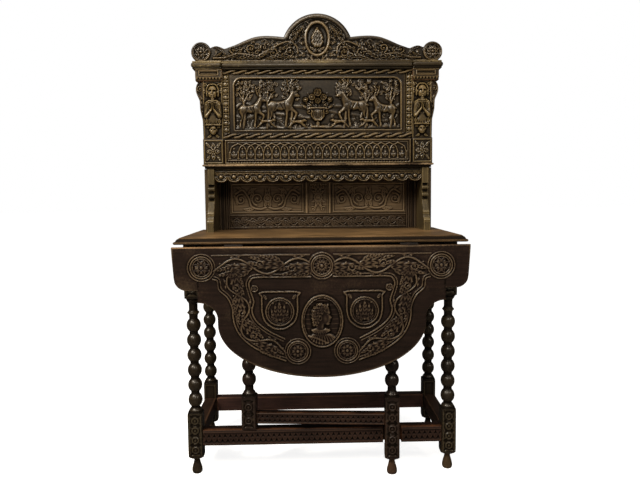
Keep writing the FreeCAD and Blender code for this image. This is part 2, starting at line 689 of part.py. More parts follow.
# Its carving: (x, depth) in mm on a leaf 886 wide and 393 deep, mirrored about the middle
FILLETS = [
    [(32, 22), (326, 22)],
    [(34, 88), (190, 88), (208, 92), (216, 108), (203, 160), (208, 192), (193, 222), (158, 250), (112, 272)],
    [(322, 92), (309, 98), (304, 124), (280, 148), (266, 180), (262, 222), (244, 262), (210, 294),
     (162, 318), (114, 334)],
]
FLOWERS = [(70, 53), (128, 53), (186, 53), (244, 53), (262, 112), (240, 164), (233, 214), (206, 262),
           (160, 294)]
SHIELD = [(-61, -50), (61, -50), (52, -30), (53, 0), (44, 34), (20, 54), (0, 58), (-20, 54), (-44, 34),
          (-53, 0), (-52, -30)]
BUST = [(-40, 66), (-34, 46), (-16, 36), (-20, 14), (-30, -8), (-28, -34), (-12, -54), (12, -54), (24, -36),
        (28, -14), (24, 2), (10, 12), (8, 32), (30, 44), (38, 66)]


def leaf_spot(x, depth):
    """A spot of the carving, on the leaf as it is sized."""
    return x * size("leaf_half_width") / 443, -depth * size("leaf_depth") / 393


def leaf_form(label, curves):
    return profiled(label, "XZ_Plane", curves, "2 * leaf_relief",
                    ("0", "leaf_ground_y + leaf_relief", "leaf_top"))


def leaf_disc(label, radius, x, depth):
    return rod(label, radius, "2 * leaf_relief",
               (f"{x / 443} * leaf_half_width", "leaf_ground_y - leaf_relief",
                f"leaf_top - {depth / 393} * leaf_depth"), "y")


def leaf_wheel(label, x, depth):
    rim = cut(label + "_rim", leaf_disc(label + "_disc", "leaf_wheel", x, depth),
              [leaf_disc(label + "_hollow", "leaf_wheel - leaf_wheel_rim", x, depth)])
    return [rim, leaf_disc(label + "_hub", "leaf_wheel / 3", x, depth)]


def leaf_oval(label, grow):
    centre, side = leaf_spot(0, 222), leaf_spot(62 * grow, 222)
    head = leaf_spot(0, 222 - 79 * grow)
    return leaf_form(label, [Part.Ellipse(*[Vector(*spot, 0) for spot in (head, side, centre)])])


def leaf_shield(label, x_side, grow):
    points = [leaf_spot(x_side * 126 + x * grow, 186 + depth * grow) for x, depth in SHIELD]
    return leaf_form(label, drawn(points))


leaf_forms = leaf_wheel("leaf_middle_wheel", 0, 56)
leaf_forms.append(cut("leaf_oval_rim", leaf_oval("leaf_oval", 1), [leaf_oval("leaf_oval_hollow", 0.9)]))
leaf_forms.append(leaf_form("leaf_bust", drawn([leaf_spot(x, 222 + depth) for x, depth in BUST])))
for side_name, x_side in SIDES.items():
    for number, line in enumerate(FILLETS):
        spots = [leaf_spot(x_side * x, depth) for x, depth in line]
        leaf_forms.append(leaf_form(f"leaf_fillet_{side_name}_{number}", strip(spots, size("leaf_fillet"))))
    for number, (x, depth) in enumerate(FLOWERS):
        leaf_forms.append(leaf_disc(f"leaf_flower_{side_name}_{number}", "leaf_flower", x_side * x, depth))
    leaf_forms += leaf_wheel(f"leaf_ear_wheel_{side_name}", x_side * 355, 58)
    leaf_forms += leaf_wheel(f"leaf_low_wheel_{side_name}", x_side * 74, 312)
    shield = f"leaf_shield_{side_name}"
    leaf_forms.append(cut(shield + "_rim", leaf_shield(shield, x_side, 1),
                          [leaf_shield(shield + "_hollow", x_side, 0.88)]))
    leaf_forms.append(leaf_disc(shield + "_boss", "leaf_wheel / 2", x_side * 126, 192))
leaf_board = profiled("leaf_board", "XZ_Plane", leaf_curves(), "leaf_thickness - leaf_relief",
                      ("0", "leaf_back_y", "leaf_top"))
carved_leaf = fuse("carved_leaf", [leaf_board] + leaf_forms)
keep("drop_leaf", cut("drop_leaf", carved_leaf, leaf_screw_holes))
keep("leaf_stop", box("leaf_stop", ("-stop_width / 2", "stop_width / 2"),
                      ("leaf_back_y", "leaf_back_y + stop_thickness"),
                      ("hinge_z - stop_reach - stop_depth", "hinge_z - stop_reach")))

# Gallery: framed back with two grooved-in panels
gallery_depth = ("gallery_y", "super_back_y")
tenon_y = ("gallery_y + gallery_thickness / 2 - tenon_thickness / 4",
           "gallery_y + gallery_thickness / 2 + tenon_thickness / 4")
socket_y = (f"{tenon_y[0]} - tenon_clearance", f"{tenon_y[1]} + tenon_clearance")
panel_tools = []
for side_name, x_side in SIDES.items():
    reach = mirrored_span(x_side, "muntin_half - panel_tongue", "gallery_opening + panel_tongue")
    rise = ("sill_top - panel_tongue", "lintel_bottom + panel_tongue")
    label = f"gallery_panel_{side_name}"
    keep(label, box(label, reach, ("panel_front_y", "panel_back_y"), rise))
    panel_tools.append(box(
        label + "_groove", (f"{reach[0]} - panel_clearance", f"{reach[1]} + panel_clearance"),
        ("panel_front_y - panel_clearance", "panel_back_y + panel_clearance"),
        (f"{rise[0]} - panel_clearance", f"{rise[1]} + panel_clearance")))

rail_rises = {
    "gallery_sill": ("top_height", "sill_top"),
    "gallery_lintel": ("lintel_bottom", "shelf_bottom"),
}
stile_sockets = []
muntin_sockets = []
muntin_tenon_x = ("-muntin_half / 2", "muntin_half / 2")
for rail, (bottom, top) in rail_rises.items():
    reach = "gallery_opening + tenon_length"
    tenon_rise = (f"{bottom} + tenon_shoulder", f"{top} - tenon_shoulder")
    stile_sockets.append(box(
        rail + "_socket", (f"-({reach} + tenon_clearance)", f"{reach} + tenon_clearance"), socket_y,
        (f"{tenon_rise[0]} - tenon_clearance", f"{tenon_rise[1]} + tenon_clearance")))
    inner_edge = "sill_top" if rail == "gallery_sill" else "lintel_bottom"
    muntin_sockets.append(box(
        rail + "_muntin_socket", (f"{muntin_tenon_x[0]} - tenon_clearance",
                                  f"{muntin_tenon_x[1]} + tenon_clearance"), socket_y,
        (f"{inner_edge} - tenon_length - tenon_clearance",
         f"{inner_edge} + tenon_length + tenon_clearance")))
    solid = fuse(rail + "_solid", [
        box(rail + "_body", ("-gallery_opening", "gallery_opening"), gallery_depth, (bottom, top)),
        box(rail + "_tenon", (f"-({reach})", reach), tenon_y, tenon_rise)])
    keep(rail, cut(rail, solid, panel_tools + muntin_sockets[-1:]))
muntin = fuse("gallery_muntin_solid", [
    box("gallery_muntin_body", ("-muntin_half", "muntin_half"), gallery_depth,
        ("sill_top", "lintel_bottom")),
    box("gallery_muntin_tenon", muntin_tenon_x, tenon_y,
        ("sill_top - tenon_length", "lintel_bottom + tenon_length"))])
keep("gallery_muntin", cut("gallery_muntin", muntin, panel_tools))
for side_name, x_side in SIDES.items():
    label = f"gallery_stile_{side_name}"
    stile = box(label + "_body", mirrored_span(x_side, "gallery_opening", "gallery_half"), gallery_depth,
                ("top_height", "shelf_bottom"))
    keep(label, cut(label, stile, stile_sockets + panel_tools))


# Brackets: a straight head, two rings, and a foot that sweeps forward
def bracket_curves():
    front = size("hood_y") - size("gallery_y")
    height, block = size("gallery_height"), size("bracket_block")
    foot_reach, groove, ring = size("bracket_foot"), size("bracket_groove"), size("bracket_ring")
    step = size("bracket_step_height")
    inset = front + groove
    level = height - block - groove
    steps = [[(front, height - block)], [(inset, level)]]
    for _ in range(2):
        steps.append([(inset, level - groove / 2)])
        crown = (front - groove / 2, level - groove / 2 - ring / 2)
        level -= groove / 2 + ring
        steps.append([crown, (inset, level)])
    waist = level - groove
    steps += [
        [(inset, waist)],
        [(front - foot_reach * 0.2, (waist + step) / 2), (front - foot_reach * 0.75, step)],
        [(front - foot_reach, step)],
        [(front - foot_reach, 0)],
        [(0, 0)],
        [(0, height)],
        [(front, height)],
    ]
    return outline((front, height, 0), *[[(y, z, 0) for y, z in points] for points in steps])


for side_name, x_side in SIDES.items():
    low, _ = mirrored_span(x_side, "bracket_inner", "bracket_inner + bracket_thickness")
    label = f"bracket_{side_name}"
    keep(label, profiled(label, "YZ_Plane", bracket_curves(), "bracket_thickness",
                         (low, "gallery_y", "top_height")))
    outer = "bracket_inner + bracket_thickness"
    label = f"gallery_end_{side_name}"
    keep(label, box(label, mirrored_span(x_side, outer, outer + " + gallery_end_thickness"),
                    ("hood_y + gallery_end_setback", "gallery_y"), ("top_height", "shelf_bottom")))

# Hood floor and its scalloped valance
keep("shelf_board", box("shelf_board", ("-shelf_half", "shelf_half"),
                        ("hood_y - shelf_nose", "super_back_y"), ("shelf_bottom", "shelf_top")))


def valance_curves():
    half, drop, sag = size("bracket_inner"), size("valance_drop"), size("valance_scallop")
    lobes = int(size("valance_lobes"))
    pitch = 2 * half / lobes
    steps = [[(half, 0, 0)], [(half, -drop + sag, 0)]]
    for index in range(lobes):
        left = half - (index + 1) * pitch
        steps.append([(left + pitch / 2, -drop, 0), (left, -drop + sag, 0)])
    steps.append([(-half, 0, 0)])
    return outline((-half, 0, 0), *steps)


keep("scalloped_valance", profiled(
    "scalloped_valance", "XZ_Plane", valance_curves(), "valance_thickness",
    ("0", "hood_y + valance_setback + valance_thickness", "shelf_bottom")))

# Hood front: frieze, corner blocks, relief panel, mouldings, pilasters
keep("frieze_board", box("frieze_board", ("-frieze_half", "frieze_half"),
                         ("hood_y + frieze_setback", "hood_y + frieze_setback + board_thickness"),
                         ("shelf_top", "frieze_top")))
panel_slab = box("relief_slab", ("-frieze_half", "frieze_half"), ("relief_y", "relief_y + relief_thickness"),
                 ("frieze_top", "cornice_bottom"))
sunk_field = box("relief_field", ("-field_half", "field_half"), ("relief_y - border_depth", "field_y"),
                 ("field_bottom", "field_top"))

# Figures of the relief: (x, z) in mm from the foot of each, on a field 576 wide and 180 high
STAG = [(92, 82), (71, 100), (66, 82), (56, 71), (22, 69), (10, 54), (19, 32), (11, 3), (20, 2), (30, 42),
        (56, 45), (54, 3), (62, 2), (66, 40), (81, 35), (72, 16), (79, 14), (89, 38), (76, 56), (82, 76)]
HOUND = [(98, 42), (86, 53), (75, 47), (18, 47), (15, 33), (-6, 6), (8, 13), (40, 32), (64, 26), (101, 3),
         (81, 26)]
URN = [(-22, 2), (22, 2), (22, 10), (7, 12), (7, 24), (24, 40), (26, 74), (-26, 74), (-24, 40), (-7, 24),
       (-7, 12), (-22, 10)]
TREES = ((254, 32), (172, 27), (92, 23))


def field_form(label, foot, facing, scale, points):
    across, up = size("field_half") / 288, size("field_height") / 180
    spots = [((foot + facing * x * scale) * across, (8 + z * scale) * up) for x, z in points]
    return profiled(label, "XZ_Plane", drawn(spots), "figure_height + 1",
                    ("0", "field_y + 1", "field_bottom"))


def field_disc(label, radius, x, z):
    return rod(label, f"{radius / 288} * field_half", "figure_height + 1",
               (f"{x / 288} * field_half", "field_y - figure_height",
                f"field_bottom + {z / 180} * field_height"), "y")


figures = [box("relief_ground", ("-field_half - 1", "field_half + 1"), ("field_y - 5", "field_y + 1"),
               ("field_bottom - 1", "field_bottom + 11")),
           field_form("relief_urn", 0, 1, 1, URN), field_disc("relief_flowers", 26, 0, 104)]
for side_name, x_side in SIDES.items():
    figures.append(field_form(f"relief_stag_{side_name}", x_side * 190, -x_side, 1.36, STAG))
    figures.append(field_form(f"relief_hind_{side_name}", x_side * 285, -x_side, 1.16, STAG))
    figures.append(field_form(f"relief_hound_{side_name}", x_side * 206, -x_side, 0.62, HOUND))
    for number, (x, radius) in enumerate(TREES):
        figures.append(field_disc(f"relief_tree_{side_name}_{number}", radius, x_side * x, 138))
keep("relief_panel", fuse("relief_panel", [cut("relief_board", panel_slab, [sunk_field])] + figures))
keep("twist_moulding_lower", box("twist_moulding_lower", ("-frieze_half", "frieze_half"),
                                 ("hood_y", "relief_y"), ("frieze_top", "frieze_top + twist_lower_height")))
keep("twist_moulding_upper", box("twist_moulding_upper", ("-frieze_half", "frieze_half"),
                                 ("hood_y", "relief_y"),
                                 ("cornice_bottom - twist_upper_height", "cornice_bottom")))


def console_curves(x_side):
    """The scrolled outer edge that stands out from the end of the hood."""
    reach = size("console_reach")
    height = size("capital_bottom") - size("frieze_top")
    knee, hip, chest, crown = 0.3 * height, 0.55 * height, 0.78 * height, 0.96 * height
    points = [
        [(0, height)],
        [(reach * 0.55, height)],
        [(reach, (chest + crown) / 2), (reach * 0.8, hip + (chest - hip) / 2)],
        [(reach * 0.45, hip)],
        [(reach * 0.5, (knee + hip) / 2), (reach * 0.1, knee)],
        [(reach * 0.1, 0)],
        [(0, 0)],
    ]
    flat = [[(x_side * x, z, 0) for x, z in step] for step in points]
    return outline((0, 0, 0), *flat)


for side_name, x_side in SIDES.items():
    keep(f"corner_block_{side_name}", box(
        f"corner_block_{side_name}", mirrored_span(x_side, "frieze_half", "block_half"),
        ("hood_y - block_proud", "hood_y + pilaster_thickness"), ("shelf_top", "frieze_top")))
    keep(f"side_moulding_{side_name}", box(
        f"side_moulding_{side_name}",
        mirrored_span(x_side, "frieze_half - side_moulding_width", "frieze_half"), ("hood_y", "relief_y"),
        ("frieze_top + twist_lower_height", "cornice_bottom - twist_upper_height")))
    name = f"pilaster_{side_name}"
    middle = f"{x_side} * (frieze_half + canopy_half) / 2"
    figure = [
        box(name + "_board", mirrored_span(x_side, "frieze_half", "canopy_half"),
            ("hood_y", "hood_y + pilaster_thickness"), ("frieze_top", "capital_bottom")),
        cone(name + "_torso", "torso_low_radius", "torso_top_radius",
             (middle, "hood_y + torso_low_radius * 0.6", "frieze_top + torso_lift"), "torso_height"),
        ball(name + "_head", "head_radius", (middle, "hood_y", "capital_bottom - head_drop")),
        ball(name + "_mask", "mask_radius",
             (middle, "hood_y + mask_radius * 0.4", "frieze_top + mask_lift")),
    ]
    front_half = box(name + "_reach", mirrored_span(x_side, "frieze_half", "canopy_half"),
                     ("hood_y - torso_top_radius", "hood_y + pilaster_thickness"),
                     ("frieze_top", "capital_bottom"))
    keep(name, common(name, fuse(name + "_figure", figure), front_half))
    name = f"capital_{side_name}"
    keep(name, fuse(name, [
        box(name + "_front", mirrored_span(x_side, "frieze_half", "capital_half"),
            ("hood_y - capital_proud", "hood_y + pilaster_thickness"), ("capital_bottom", "cornice_bottom")),
        box(name + "_return", mirrored_span(x_side, "canopy_half", "capital_half"),
            ("hood_y", "super_back_y"), ("capital_bottom", "cornice_bottom"))]))
    name = f"cabinet_end_{side_name}"
    keep(name, box(name, mirrored_span(x_side, "canopy_half - end_thickness", "canopy_half"),
                   ("hood_y + pilaster_thickness", "super_back_y"), ("shelf_top", "cornice_bottom")))
    name = f"side_console_{side_name}"
    keep(name, profiled(name, "XZ_Plane", console_curves(x_side), "console_depth",
                        (f"{x_side} * canopy_half", "hood_y + console_setback + console_depth",
                         "frieze_top")))
keep("cabinet_back", box(
    "cabinet_back", ("-(canopy_half - end_thickness)", "canopy_half - end_thickness"),
    ("super_back_y - back_thickness", "super_back_y"), ("shelf_top", "cornice_bottom")))

# Cornice, broken forward over the pilasters, and the cresting on it
cornice_rise = ("cornice_bottom", "cornice_top")
cornice = [box("cornice_board", ("-cornice_half", "cornice_half"),
               ("hood_y - cornice_nose", "super_back_y"), cornice_rise)]
for side_name, x_side in SIDES.items():
    cornice.append(box(f"cornice_break_{side_name}", mirrored_span(x_side, "frieze_half", "cornice_half"),
                       ("hood_y - cornice_nose - cornice_break", "hood_y"), cornice_rise))
keep("cornice", fuse("cornice", cornice))


def crest_curves():
    arch, arch_top = size("crest_arch_radius"), size("crest_arch_height")
    arch_half = size("crest_arch_half")
    spring = arch_top - arch + math.sqrt(max(arch ** 2 - arch_half ** 2, 0))
    turn = (size("crest_turn_x"), size("crest_turn_height"))
    hump = (size("crest_hump_x"), size("crest_hump_height"))
    sweep = (size("crest_sweep_x"), size("crest_sweep_height"))
    dip = (size("crest_dip_x"), size("crest_dip_height"))
    bump = (size("crest_bump_x"), size("crest_bump_height"))
    centre_x, centre_z, radius = size("rosette_x"), size("rosette_height"), size("rosette_radius")

    def on_rosette(degrees):
        angle = math.radians(degrees)
        return centre_x + radius * math.cos(angle), centre_z + radius * math.sin(angle)

    seat = -math.degrees(math.asin(min(centre_z / radius, 1)))
    meet = 160
    right = [[hump, turn], [sweep, dip], [bump, on_rosette(meet)],
             [on_rosette((meet + seat) / 2), on_rosette(seat)]]
    mirror = [[(-x, z) for x, z in step] for step in right]
    left = [
        [mirror[3][0], mirror[2][1]],
        [mirror[2][0], mirror[1][1]],
        [mirror[1][0], mirror[0][1]],
        [mirror[0][0], (-arch_half, spring)],
    ]
    steps = right + [[mirror[3][1]]] + left + [[(0, arch_top), (arch_half, spring)]]
    return outline((arch_half, spring, 0), *[[(x, z, 0) for x, z in step] for step in steps])


crest_board = profiled("crest_board", "XZ_Plane", crest_curves(), "crest_thickness",
                       ("0", "hood_y + crest_thickness", "cornice_top"))
crest_solids = [crest_board]
for side_name, x_side in SIDES.items():
    crest_solids.append(rod(
        f"rosette_{side_name}", "rosette_height - rosette_clearance", "rosette_proud + crest_thickness / 2",
        (f"{x_side} * rosette_x", "hood_y - rosette_proud", "cornice_top + rosette_height"), "y"))
medallion = doc.addObject("Part::Ellipsoid", "medallion")
bind(medallion, "Radius1", "medallion_proud")
bind(medallion, "Radius2", "medallion_half_width")
bind(medallion, "Radius3", "medallion_half_height")
medallion.Placement = Placement(Vector(), ALONG["y"])
locate(medallion, "0", "hood_y", "cornice_top + medallion_lift")
crest_solids.append(medallion)
keep("crest", fuse("crest", crest_solids))

doc.recompute()
faults = [thing.Name for thing in doc.Objects if "Invalid" in thing.State or "Error" in thing.State]
if faults:
    raise RuntimeError("objects that failed: " + ", ".join(faults))
for label, solid in nodes.items():
    if solid.Shape.isNull() or not solid.Shape.isValid() or not solid.Shape.Solids:
        raise RuntimeError("no valid solid: " + label)

os.makedirs("parts", exist_ok=True)
for label, solid in nodes.items():
    solid.Shape.exportStep(f"parts/{label}.step")
    print(f"{label:24s} solids {len(solid.Shape.Solids):2d}  volume {solid.Shape.Volume / 1000:9.1f} cm3")
print(len(nodes), "nodes")
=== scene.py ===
"""Looks of the carved oak gate-leg server: carving, turning, mouldings, waxed dark oak, light and camera.

Carvings are worked out in millimetres on the face of each board: x across, z up, and the height is how far
the wood stands proud of the face. Meshes are in metres, in the frame of the solid model.
"""

import math
from contextlib import contextmanager

import bpy
import numpy as np
from mathutils import Matrix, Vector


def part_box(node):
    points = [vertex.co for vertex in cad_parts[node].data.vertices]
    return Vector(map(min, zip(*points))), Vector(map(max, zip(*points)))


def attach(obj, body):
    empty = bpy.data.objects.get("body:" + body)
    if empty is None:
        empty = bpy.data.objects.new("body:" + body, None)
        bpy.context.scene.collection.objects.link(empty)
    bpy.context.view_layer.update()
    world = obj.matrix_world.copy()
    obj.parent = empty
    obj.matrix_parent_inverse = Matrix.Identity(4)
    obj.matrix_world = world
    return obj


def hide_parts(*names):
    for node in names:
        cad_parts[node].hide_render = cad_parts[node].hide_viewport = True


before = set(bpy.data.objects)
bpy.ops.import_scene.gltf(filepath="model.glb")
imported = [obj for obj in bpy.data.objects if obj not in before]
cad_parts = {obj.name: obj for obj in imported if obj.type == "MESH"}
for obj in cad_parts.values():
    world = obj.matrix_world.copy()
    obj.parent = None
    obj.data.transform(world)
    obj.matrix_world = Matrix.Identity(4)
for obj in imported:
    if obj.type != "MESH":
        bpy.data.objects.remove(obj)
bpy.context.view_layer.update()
MM = 0.001
SIDES = {"left": -1, "right": 1}
HANDS = (-1, 1)
LOWEST = -99.0  # below all carved ground, so it raises nothing
TINY = 1e-9


# Shader maths
class Value:
    """A shader socket that takes part in arithmetic."""

    def __init__(self, paint, socket):
        self.paint = paint
        self.socket = socket

    def math(self, operation, other, clamp=False):
        return self.paint.node("ShaderNodeMath", {0: self, 1: other}, operation=operation, use_clamp=clamp)

    def scaled(self, factor):
        """This value times a factor, kept between 0 and 1."""
        return self.math("MULTIPLY", factor, clamp=True)

    def __add__(self, other):
        return self.math("ADD", other)

    def __mul__(self, other):
        return self.math("MULTIPLY", other)

    def __sub__(self, other):
        return self.math("SUBTRACT", other)

    def __rsub__(self, other):
        return self.paint.node("ShaderNodeMath", {0: other, 1: self}, operation="SUBTRACT")

    __radd__ = __add__


class Paint:
    """The node tree of one material."""

    def __init__(self, name):
        self.material = bpy.data.materials.new(name)
        self.material.use_nodes = True
        self.tree = self.material.node_tree
        self.shader = self.tree.nodes["Principled BSDF"]

    def put(self, socket, value):
        """Link a value to a socket, or set a plain number or colour there."""
        if isinstance(value, Value):
            self.tree.links.new(value.socket, socket)
        else:
            socket.default_value = value

    def node(self, kind, values=None, output=0, **settings):
        made = self.tree.nodes.new(kind)
        for setting, choice in settings.items():
            setattr(made, setting, choice)
        for key, value in (values or {}).items():
            self.put(made.inputs[key], value)
        return Value(self, made.outputs[output])

    def place(self):
        return self.node("ShaderNodeTexCoord", output="Object")

    def noise(self, place, scale, detail, roughness=0.5):
        return self.node("ShaderNodeTexNoise", {"Vector": place, "Scale": scale, "Detail": detail,
                                                "Roughness": roughness})

    def ramp(self, share, stops):
        """Colours along a ramp, from stops of (place, colour)."""
        made = self.node("ShaderNodeValToRGB", {0: share})
        elements = made.socket.node.color_ramp.elements
        while len(elements) < len(stops):
            elements.new(0.5)
        for element, (place, tone) in zip(elements, stops):
            element.position = place
            element.color = tone
        return made

    def mix(self, share, first, second):
        return self.node("ShaderNodeMix", {0: share, 6: first, 7: second}, output=2, data_type="RGBA")

    def bump(self, strength, distance, height):
        return self.node("ShaderNodeBump", {"Strength": strength, "Distance": distance, "Height": height})

    def feed(self, **links):
        for name, value in links.items():
            self.put(self.shader.inputs[name.replace("_", " ")], value)


def colour(red, green, blue):
    """A screen colour as the linear colour that shaders use."""
    return tuple((part / 255 / 12.92 if part < 11 else ((part / 255 + 0.055) / 1.055) ** 2.4)
                 for part in (red, green, blue)) + (1.0,)


GRAIN = {"X": (6, 90, 90), "Y": (90, 6, 90), "Z": (90, 90, 6)}
WAX_TINT = (1.0, 0.82, 0.56, 1.0)


def oak(name, ground, bright, deep, grain="X", wear_and_highlight=(112, 74, 46), gloss=0.40, streak=0.5, polish=0.3):
    """Dark waxed oak: grain along an axis, black dirt and painted shade in the hollows, wear and a painted
    highlight on what stands proud.
    """
    paint = Paint(name)
    place = paint.place()
    along = paint.node("ShaderNodeMapping", {"Vector": place, "Scale": GRAIN[grain]})
    fibres = paint.noise(along, 2.2, 6.0, 0.62)
    patches = paint.noise(place, 7.0, 3.0)
    specks = paint.noise(place, 160.0, 4.0, 0.7)
    relief = paint.node("ShaderNodeAttribute", attribute_name="relief", output="Fac")
    rubbed = paint.node("ShaderNodeAttribute", attribute_name="rubbed", output="Fac")

    def shade(share):
        return colour(*(part * share for part in ground))

    wood = paint.ramp(fibres + (patches - 0.5) * 0.5, [
        (0.30, shade(1 - 0.45 * streak)), (0.50, shade(1)), (0.72, shade(1 + 0.5 * streak))])
    # Hollows: black dirt and painted shade
    hollow = (0.0 - relief).scaled(1.9)
    # What stands proud: wear and a painted highlight
    proud = (relief + (patches - 0.5) * 0.9 + (specks - 0.5) * 0.7).scaled(0.9)
    carved = paint.mix(hollow, paint.mix(proud, wood, colour(*bright)), colour(*deep))
    # Rubbed edges: wear, and where the rubbing is set high a painted highlight
    edge = (rubbed + (patches - 0.5) * 2.4 + (specks - 0.5) * 1.2 - 0.72).scaled(0.9)
    paint.feed(Base_Color=paint.mix(edge, carved, colour(*wear_and_highlight)),
               Roughness=gloss + (specks - 0.5) * 0.25 + hollow * 0.45 - proud * 0.08,
               Coat_Weight=(relief * 0.8 + 0.5).scaled(polish * 1.8), Coat_Roughness=gloss * 0.9,
               Specular_IOR_Level=polish * 0.2, Specular_Tint=WAX_TINT,
               Normal=paint.bump(0.25, 0.0016, fibres * 0.6 + specks * 0.4))
    return paint.material


def black_iron(name):
    """Forged iron with a thin brown rust."""
    paint = Paint(name)
    place = paint.place()
    blotches = paint.noise(place, 90.0, 6.0, 0.7)
    pits = paint.noise(place, 900.0, 3.0)
    skin = paint.ramp(blotches, [
        (0.42, colour(16, 14, 13)), (0.56, colour(26, 22, 20)), (0.68, colour(48, 30, 22))])
    paint.feed(Base_Color=skin, Roughness=0.55 + blotches * 0.3, Metallic=0.5 - blotches * 0.4,
               Normal=paint.bump(0.35, 0.0006, pits + blotches), Specular_IOR_Level=0.2)
    return paint.material


# Each oak: ground, bright where proud (wear and painted highlight), deep in hollows (dirt and painted shade)
HOOD_OAK = oak("hood_oak", (25, 19, 12), (102, 83, 52), (5, 3, 2), gloss=0.31, polish=0.6)
HOOD_OAK_UPRIGHT = oak("hood_oak_upright", (29, 23, 14), (108, 90, 56), (5, 3, 2), grain="Z", gloss=0.31,
                       polish=0.6)
MOULDING_OAK = oak("moulding_oak", (45, 37, 24), (88, 74, 48), (10, 7, 4), gloss=0.3, polish=0.5,
                   wear_and_highlight=(168, 148, 104))
CONSOLE_OAK = oak("console_oak", (34, 25, 16), (92, 75, 47), (6, 4, 2), grain="Z", gloss=0.33, polish=0.5)
BRACKET_OAK = oak("bracket_oak", (66, 56, 37), (104, 89, 58), (14, 10, 6), grain="Z", gloss=0.34, polish=0.4,
                  wear_and_highlight=(120, 104, 72))
# End boards' oak: painted lighter to make up for the shade they stand in, with a pale worn colour that paints
# a highlight on their front edges
END_OAK_PAINTED_LIGHTER = oak("gallery_end_oak", (66, 54, 37), (96, 82, 54), (14, 10, 6), grain="Z", wear_and_highlight=(132, 112, 80))
# Gallery oak: painted lighter than the hood's oak to make up for the shade of the shelf and hood above it
GALLERY_OAK_PAINTED_LIGHTER = oak("gallery_oak_painted_lighter", (100, 83, 62), (132, 111, 82), (36, 28, 21))
SILL_OAK = oak("gallery_sill_oak", (46, 36, 27), (86, 70, 50), (12, 8, 6), polish=0.25)
LEAF_OAK = oak("leaf_oak", (30, 21, 17), (98, 81, 59), (6, 4, 3), gloss=0.36, polish=0.26,
               wear_and_highlight=(132, 102, 70))
TOP_OAK = oak("table_top_oak", (100, 77, 50), (134, 107, 71), (20, 14, 10), gloss=0.34, streak=0.9,
              wear_and_highlight=(134, 104, 70))
SHELF_OAK = oak("shelf_oak", (49, 37, 27), (110, 86, 60), (8, 6, 4), gloss=0.32, streak=0.7,
                wear_and_highlight=(196, 166, 126))
# Back rails' oak: painted lighter than the front rail's to make up for the shade at the back
BACK_RAIL_OAK_PAINTED_LIGHTER = oak("back_rail_oak", (52, 35, 31), (76, 54, 42), (14, 9, 8), gloss=0.5, polish=0.14,
                    wear_and_highlight=(96, 66, 48))
GATE_OAK = oak("gate_oak", (24, 15, 11), (44, 31, 21), (7, 4, 3), grain="Z", gloss=0.34, polish=0.5,
               wear_and_highlight=(72, 50, 33))
LEG_OAK = oak("turned_leg_oak", (29, 22, 14), (56, 46, 27), (8, 5, 4), grain="Z", gloss=0.34, polish=0.55,
              wear_and_highlight=(70, 52, 33))
RAIL_OAK = oak("rail_oak", (29, 19, 16), (64, 44, 31), (7, 5, 4), gloss=0.5, polish=0.14, wear_and_highlight=(100, 64, 42))
SIDE_RAIL_OAK = oak("side_rail_oak", (44, 31, 24), (66, 46, 32), (12, 8, 7), grain="Y", gloss=0.46,
                    polish=0.2, wear_and_highlight=(92, 66, 46))
PLAIN_OAK = oak("carcass_oak", (46, 36, 27), (70, 56, 40), (12, 9, 7), grain="Z", gloss=0.5, polish=0.2)
IRON = black_iron("black_iron")


# Mesh work
WELD = 0.00002  # metres between points that become one
FLAT = 0.9999   # least share of a normal along an axis for a face that lies flat to it
CLOSE = 0.01    # millimetres that count as touching


def fresh(active=None):
    """Nothing selected but the given object."""
    if bpy.context.object and bpy.context.object.mode != "OBJECT":
        bpy.ops.object.mode_set(mode="OBJECT")
    bpy.ops.object.select_all(action="DESELECT")
    if active:
        active.select_set(True)
        bpy.context.view_layer.objects.active = active


@contextmanager
def editing(everything=True):
    """Edit mode on the active object, with everything selected unless the selection is to stay."""
    bpy.ops.object.mode_set(mode="EDIT")
    if everything:
        bpy.ops.mesh.select_all(action="SELECT")
    yield
    bpy.ops.object.mode_set(mode="OBJECT")


def node_box(node):
    """Low and high corners of a solid in millimetres."""
    low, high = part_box(node)
    return np.array(low) / MM, np.array(high) / MM


def store(piece, attribute, values):
    layer = piece.data.attributes.get(attribute) or piece.data.attributes.new(attribute, "FLOAT", "POINT")
    layer.data.foreach_set("value", np.asarray(values, np.float32))


def stored(piece, attribute):
    values = np.zeros(len(piece.data.vertices), np.float32)
    piece.data.attributes[attribute].data.foreach_get("value", values)
    return values


def coordinates(piece):
    flat = np.zeros(len(piece.data.vertices) * 3)
    piece.data.vertices.foreach_get("co", flat)
    return flat.reshape(-1, 3)


def reshape(piece, points):
    piece.data.vertices.foreach_set("co", np.asarray(points, float).ravel())
    piece.data.update()


def finish_piece(piece, name, body, material, node, angle):
    """Shade a piece, hang it on its body and put it in the place of its solid."""
    fresh(piece)
    with editing():
        bpy.ops.mesh.normals_make_consistent(inside=False)
    bpy.ops.object.shade_smooth_by_angle(angle=math.radians(angle))
    piece.name = name
    piece.data.name = name
    piece.data.materials.clear()
    piece.data.materials.append(material)
    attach(piece, body)
    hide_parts(node)


def joined(pieces):
    fresh(pieces[0])
    for piece in pieces:
        piece.select_set(True)
    bpy.context.view_layer.objects.active = pieces[0]
    bpy.ops.object.join()
    return bpy.context.object


def blurred(values, reach):
    """A box blur by running sums along both directions."""
    for axis, steps in enumerate(reach):
        padded = np.pad(values, [(steps + 1, steps) if a == axis else (0, 0) for a in (0, 1)], mode="edge")
        sums = np.cumsum(padded, axis=axis)
        width = 2 * steps + 1
        if axis == 0:
            values = (sums[width:] - sums[:-width]) / width
        else:
            values = (sums[:, width:] - sums[:, :-width]) / width
    return values


